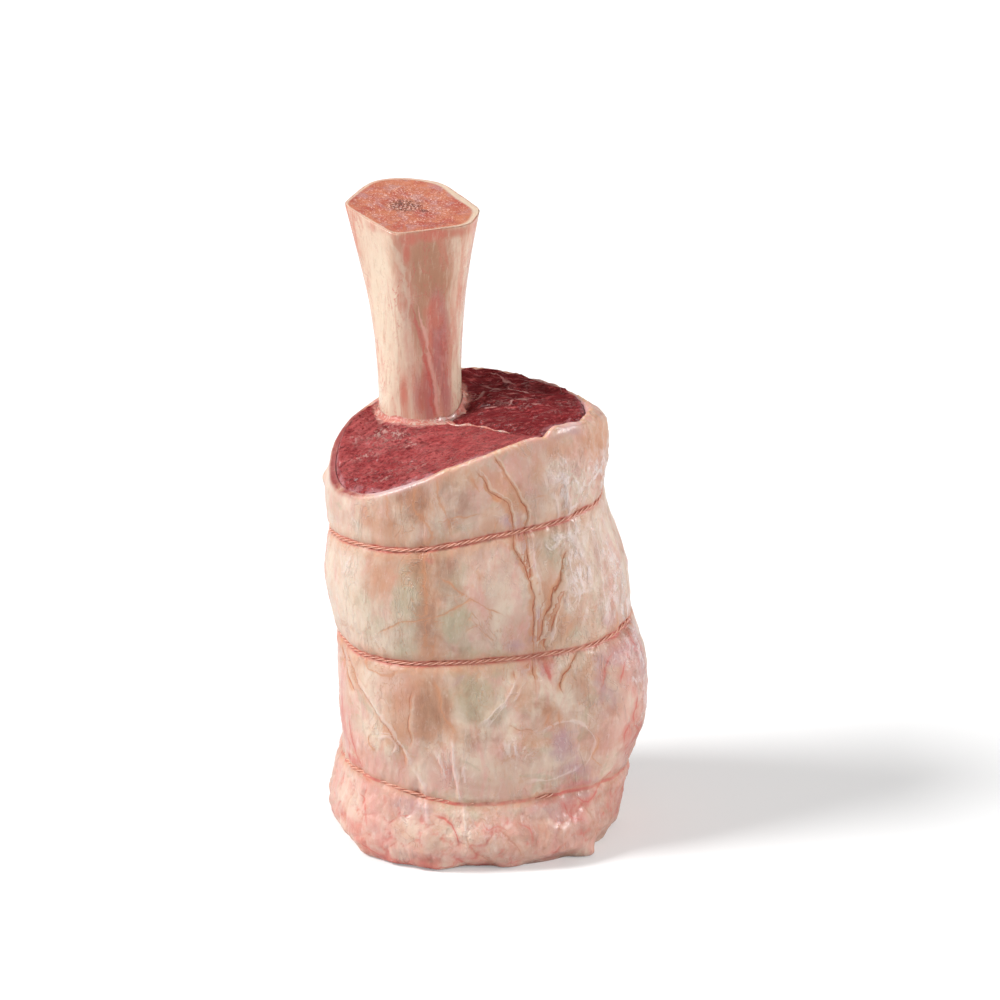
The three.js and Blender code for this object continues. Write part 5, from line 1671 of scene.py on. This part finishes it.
def bone_paint():
    material, nodes, shader, vector = new_paint("fresh_bone", coat=0.4, coat_roughness=0.16, subsurface=0.06)
    streaks = nodes.noise(nodes.stretched(vector, (1, 1, 0.09)), 300.0, 5.0, 0.65, 0.5)
    colour = nodes.over(COLOURS["bone_skin"], "bone_cream", nodes.between(streaks, 0.42, 0.64, 0.0, 0.7))
    tall = nodes.stretched(vector, (1, 1, 0.3))
    for tint, paint, scale, uneven, most in BONE_TINT_LOOKS:
        colour = nodes.over(colour, paint, nodes.patch(tall, tint, scale, uneven), most)
    blotches = nodes.noise(tall, 140.0, 5.0, 0.65, 0.8)
    colour = nodes.over(colour, "bone_red", nodes.between(blotches, 0.52, 0.68, 0.0, 0.5))
    fine = nodes.noise(nodes.stretched(vector, (1, 1, 0.14)), 700.0, 4.0, 0.65)
    colour = nodes.over(colour, "bone_tan", nodes.between(fine, 0.54, 0.70, 0.0, 0.4))
    colour = nodes.over(colour, "bone_cream", nodes.between(fine, 0.46, 0.32, 0.0, 0.35))
    wisp = nodes.wisp(tall, 130.0, 0.016, 0.50)
    colour = nodes.over(colour, "blood", wisp, 0.7)
    # The ligament is painted its own colour; the crest's pale line is a painted highlight.
    for path, paint, width, most in (("ridge", "cord", 1.5, 0.85), ("crest", "bone_cream", 1.8, 0.45)):
        colour = nodes.over(colour, paint, nodes.line(vector, path, width, 1.0), most)
    colour = nodes.over(colour, "blood", nodes.line(vector, "ridge", 1.6, 1.4, beside=2.2), 0.75)
    sponge, grit = sawn_paint(nodes, vector)
    sawn = nodes.point("sawn")
    nodes.put(shader.inputs["Base Color"], nodes.mix(sawn, colour, sponge))
    film = nodes.film(vector, 120.0, 0.24, 0.48)
    nodes.put(shader.inputs["Roughness"], nodes.plus(film["Roughness"], nodes.times(sawn, 0.16)))
    nodes.put(shader.inputs["Coat Weight"], nodes.between(sawn, 0.0, 1.0, 0.4, 0.15))
    height = nodes.total((streaks, 0.6), (film["Height"], 0.5), (nodes.times(grit, sawn), 2.4))
    nodes.put(shader.inputs["Normal"], nodes.bump(height, 0.6, 0.0008))
    return material


def twine_paint():
    material, nodes, shader, vector = new_paint("butchers_twine", roughness=0.7, coat=0.15, coat_roughness=0.3)
    stain = nodes.noise(vector, 90.0, 3.0, 0.6)
    colour = nodes.over(COLOURS["twine"], "twine_stain_and_shade", nodes.between(stain, 0.42, 0.62, 0.0, 0.6))
    outer = nodes.point("outer")
    # Painted shade on the strands' inner faces where they press together, and painted highlight on their outer crowns.
    colour = nodes.over(colour, "twine_stain_and_shade", nodes.between(outer, 0.84, 0.55, 0.0, 0.65))
    colour = nodes.over(colour, "twine_pale_and_glint", nodes.between(outer, 0.88, 1.0, 0.0, 0.7))
    fibre = nodes.noise(vector, 1900.0, 3.0, 0.7)
    colour = nodes.over(colour, "twine_pale_and_glint", nodes.between(fibre, 0.45, 0.7, 0.0, 0.35))
    nodes.put(shader.inputs["Base Color"], colour)
    nodes.put(shader.inputs["Normal"], nodes.bump(fibre, 0.5, 0.0004))
    return material


# ------------------------------------------------------------------ the studio


def make_floor():
    bm = bmesh.new()
    bmesh.ops.create_grid(bm, x_segments=1, y_segments=1, size=8.0)
    floor = put_in_scene("studio_floor", mesh_from("studio_floor", bm))
    material, nodes, shader, _ = new_paint("white_floor", roughness=0.9, coat=0.0, specular=0.1)
    nodes.put(shader.inputs["Base Color"], (0.70, 0.70, 0.70))
    nodes.put(shader.inputs["Emission Color"], (1.0, 1.0, 1.0))
    seen = nodes.add("LightPath").outputs["Is Camera Ray"]
    nodes.put(shader.inputs["Emission Strength"], nodes.times(seen, 0.28))
    floor.data.materials.append(material)


def make_light(name, direction, softness, strength):
    """A soft light from far away, so that the floor is lit evenly. The strength is what a white face shows."""
    light = bpy.data.lights.new(name, "SUN")
    light.angle, light.energy = math.radians(softness), strength * math.pi
    put_in_scene(name, light).rotation_euler = Vector(direction).to_track_quat("Z", "Y").to_euler()


def make_camera():
    distance, rise, target = 2.1, math.radians(22), Vector((0, 0, 0.140))
    camera = bpy.data.cameras.new("camera")
    camera.sensor_width, camera.lens = 36, 164.35
    camera.shift_x, camera.shift_y = 0.0129, 0.0367
    view = put_in_scene("camera", camera)
    view.location = target + Vector((0, -math.cos(rise), math.sin(rise))) * distance
    view.rotation_euler = (math.radians(90) - rise, 0, 0)
    bpy.context.scene.camera = view


def make_studio():
    make_floor()
    make_camera()
    make_light("key_left", (-0.72, -0.13, 0.68), 22, 1.15)
    make_light("side_right", (0.82, -0.38, 0.43), 15, 0.50)
    make_light("rear_right", (0.95, 0.25, 0.20), 18, 0.15)
    make_light("overhead", (0.0, 0.1, 1.0), 60, 0.12)
    world = bpy.data.worlds.new("studio")
    world.use_nodes = True
    background = world.node_tree.nodes["Background"]
    background.inputs["Color"].default_value = (1, 1, 1, 1)
    background.inputs["Strength"].default_value = 0.18
    bpy.context.scene.world = world
    bpy.context.scene.view_settings.view_transform = "Standard"


def make_shank():
    for make_group in (patch_group, line_group, moist_group, wisp_group):
        make_group()
    make_cover(cover_paint())
    front = lean_paint(
        "lean_front", ("lean_light", "lean", "lean_dark"),
        stretch=(0.7, 1.4, 1), turned=0.35, marbling=0.5, coat=0.14, softened=0.45, sinews=0.0,
    )
    back = lean_paint(
        "lean_back", ("lean_back_light", "lean_back", "lean_back_dark"),
        stretch=(0.28, 1.5, 1), turned=0.1, marbling=0.6, coat=0.08, softened=0.55, sinews=0.7,
    )
    make_muscle("muscle_front", front)
    make_muscle("muscle_back", back)
    make_seam(seam_paint())
    make_bone(bone_paint())
    twine = twine_paint()
    for name in LOOPS:
        make_twine(name, twine)


make_studio()
make_shank()
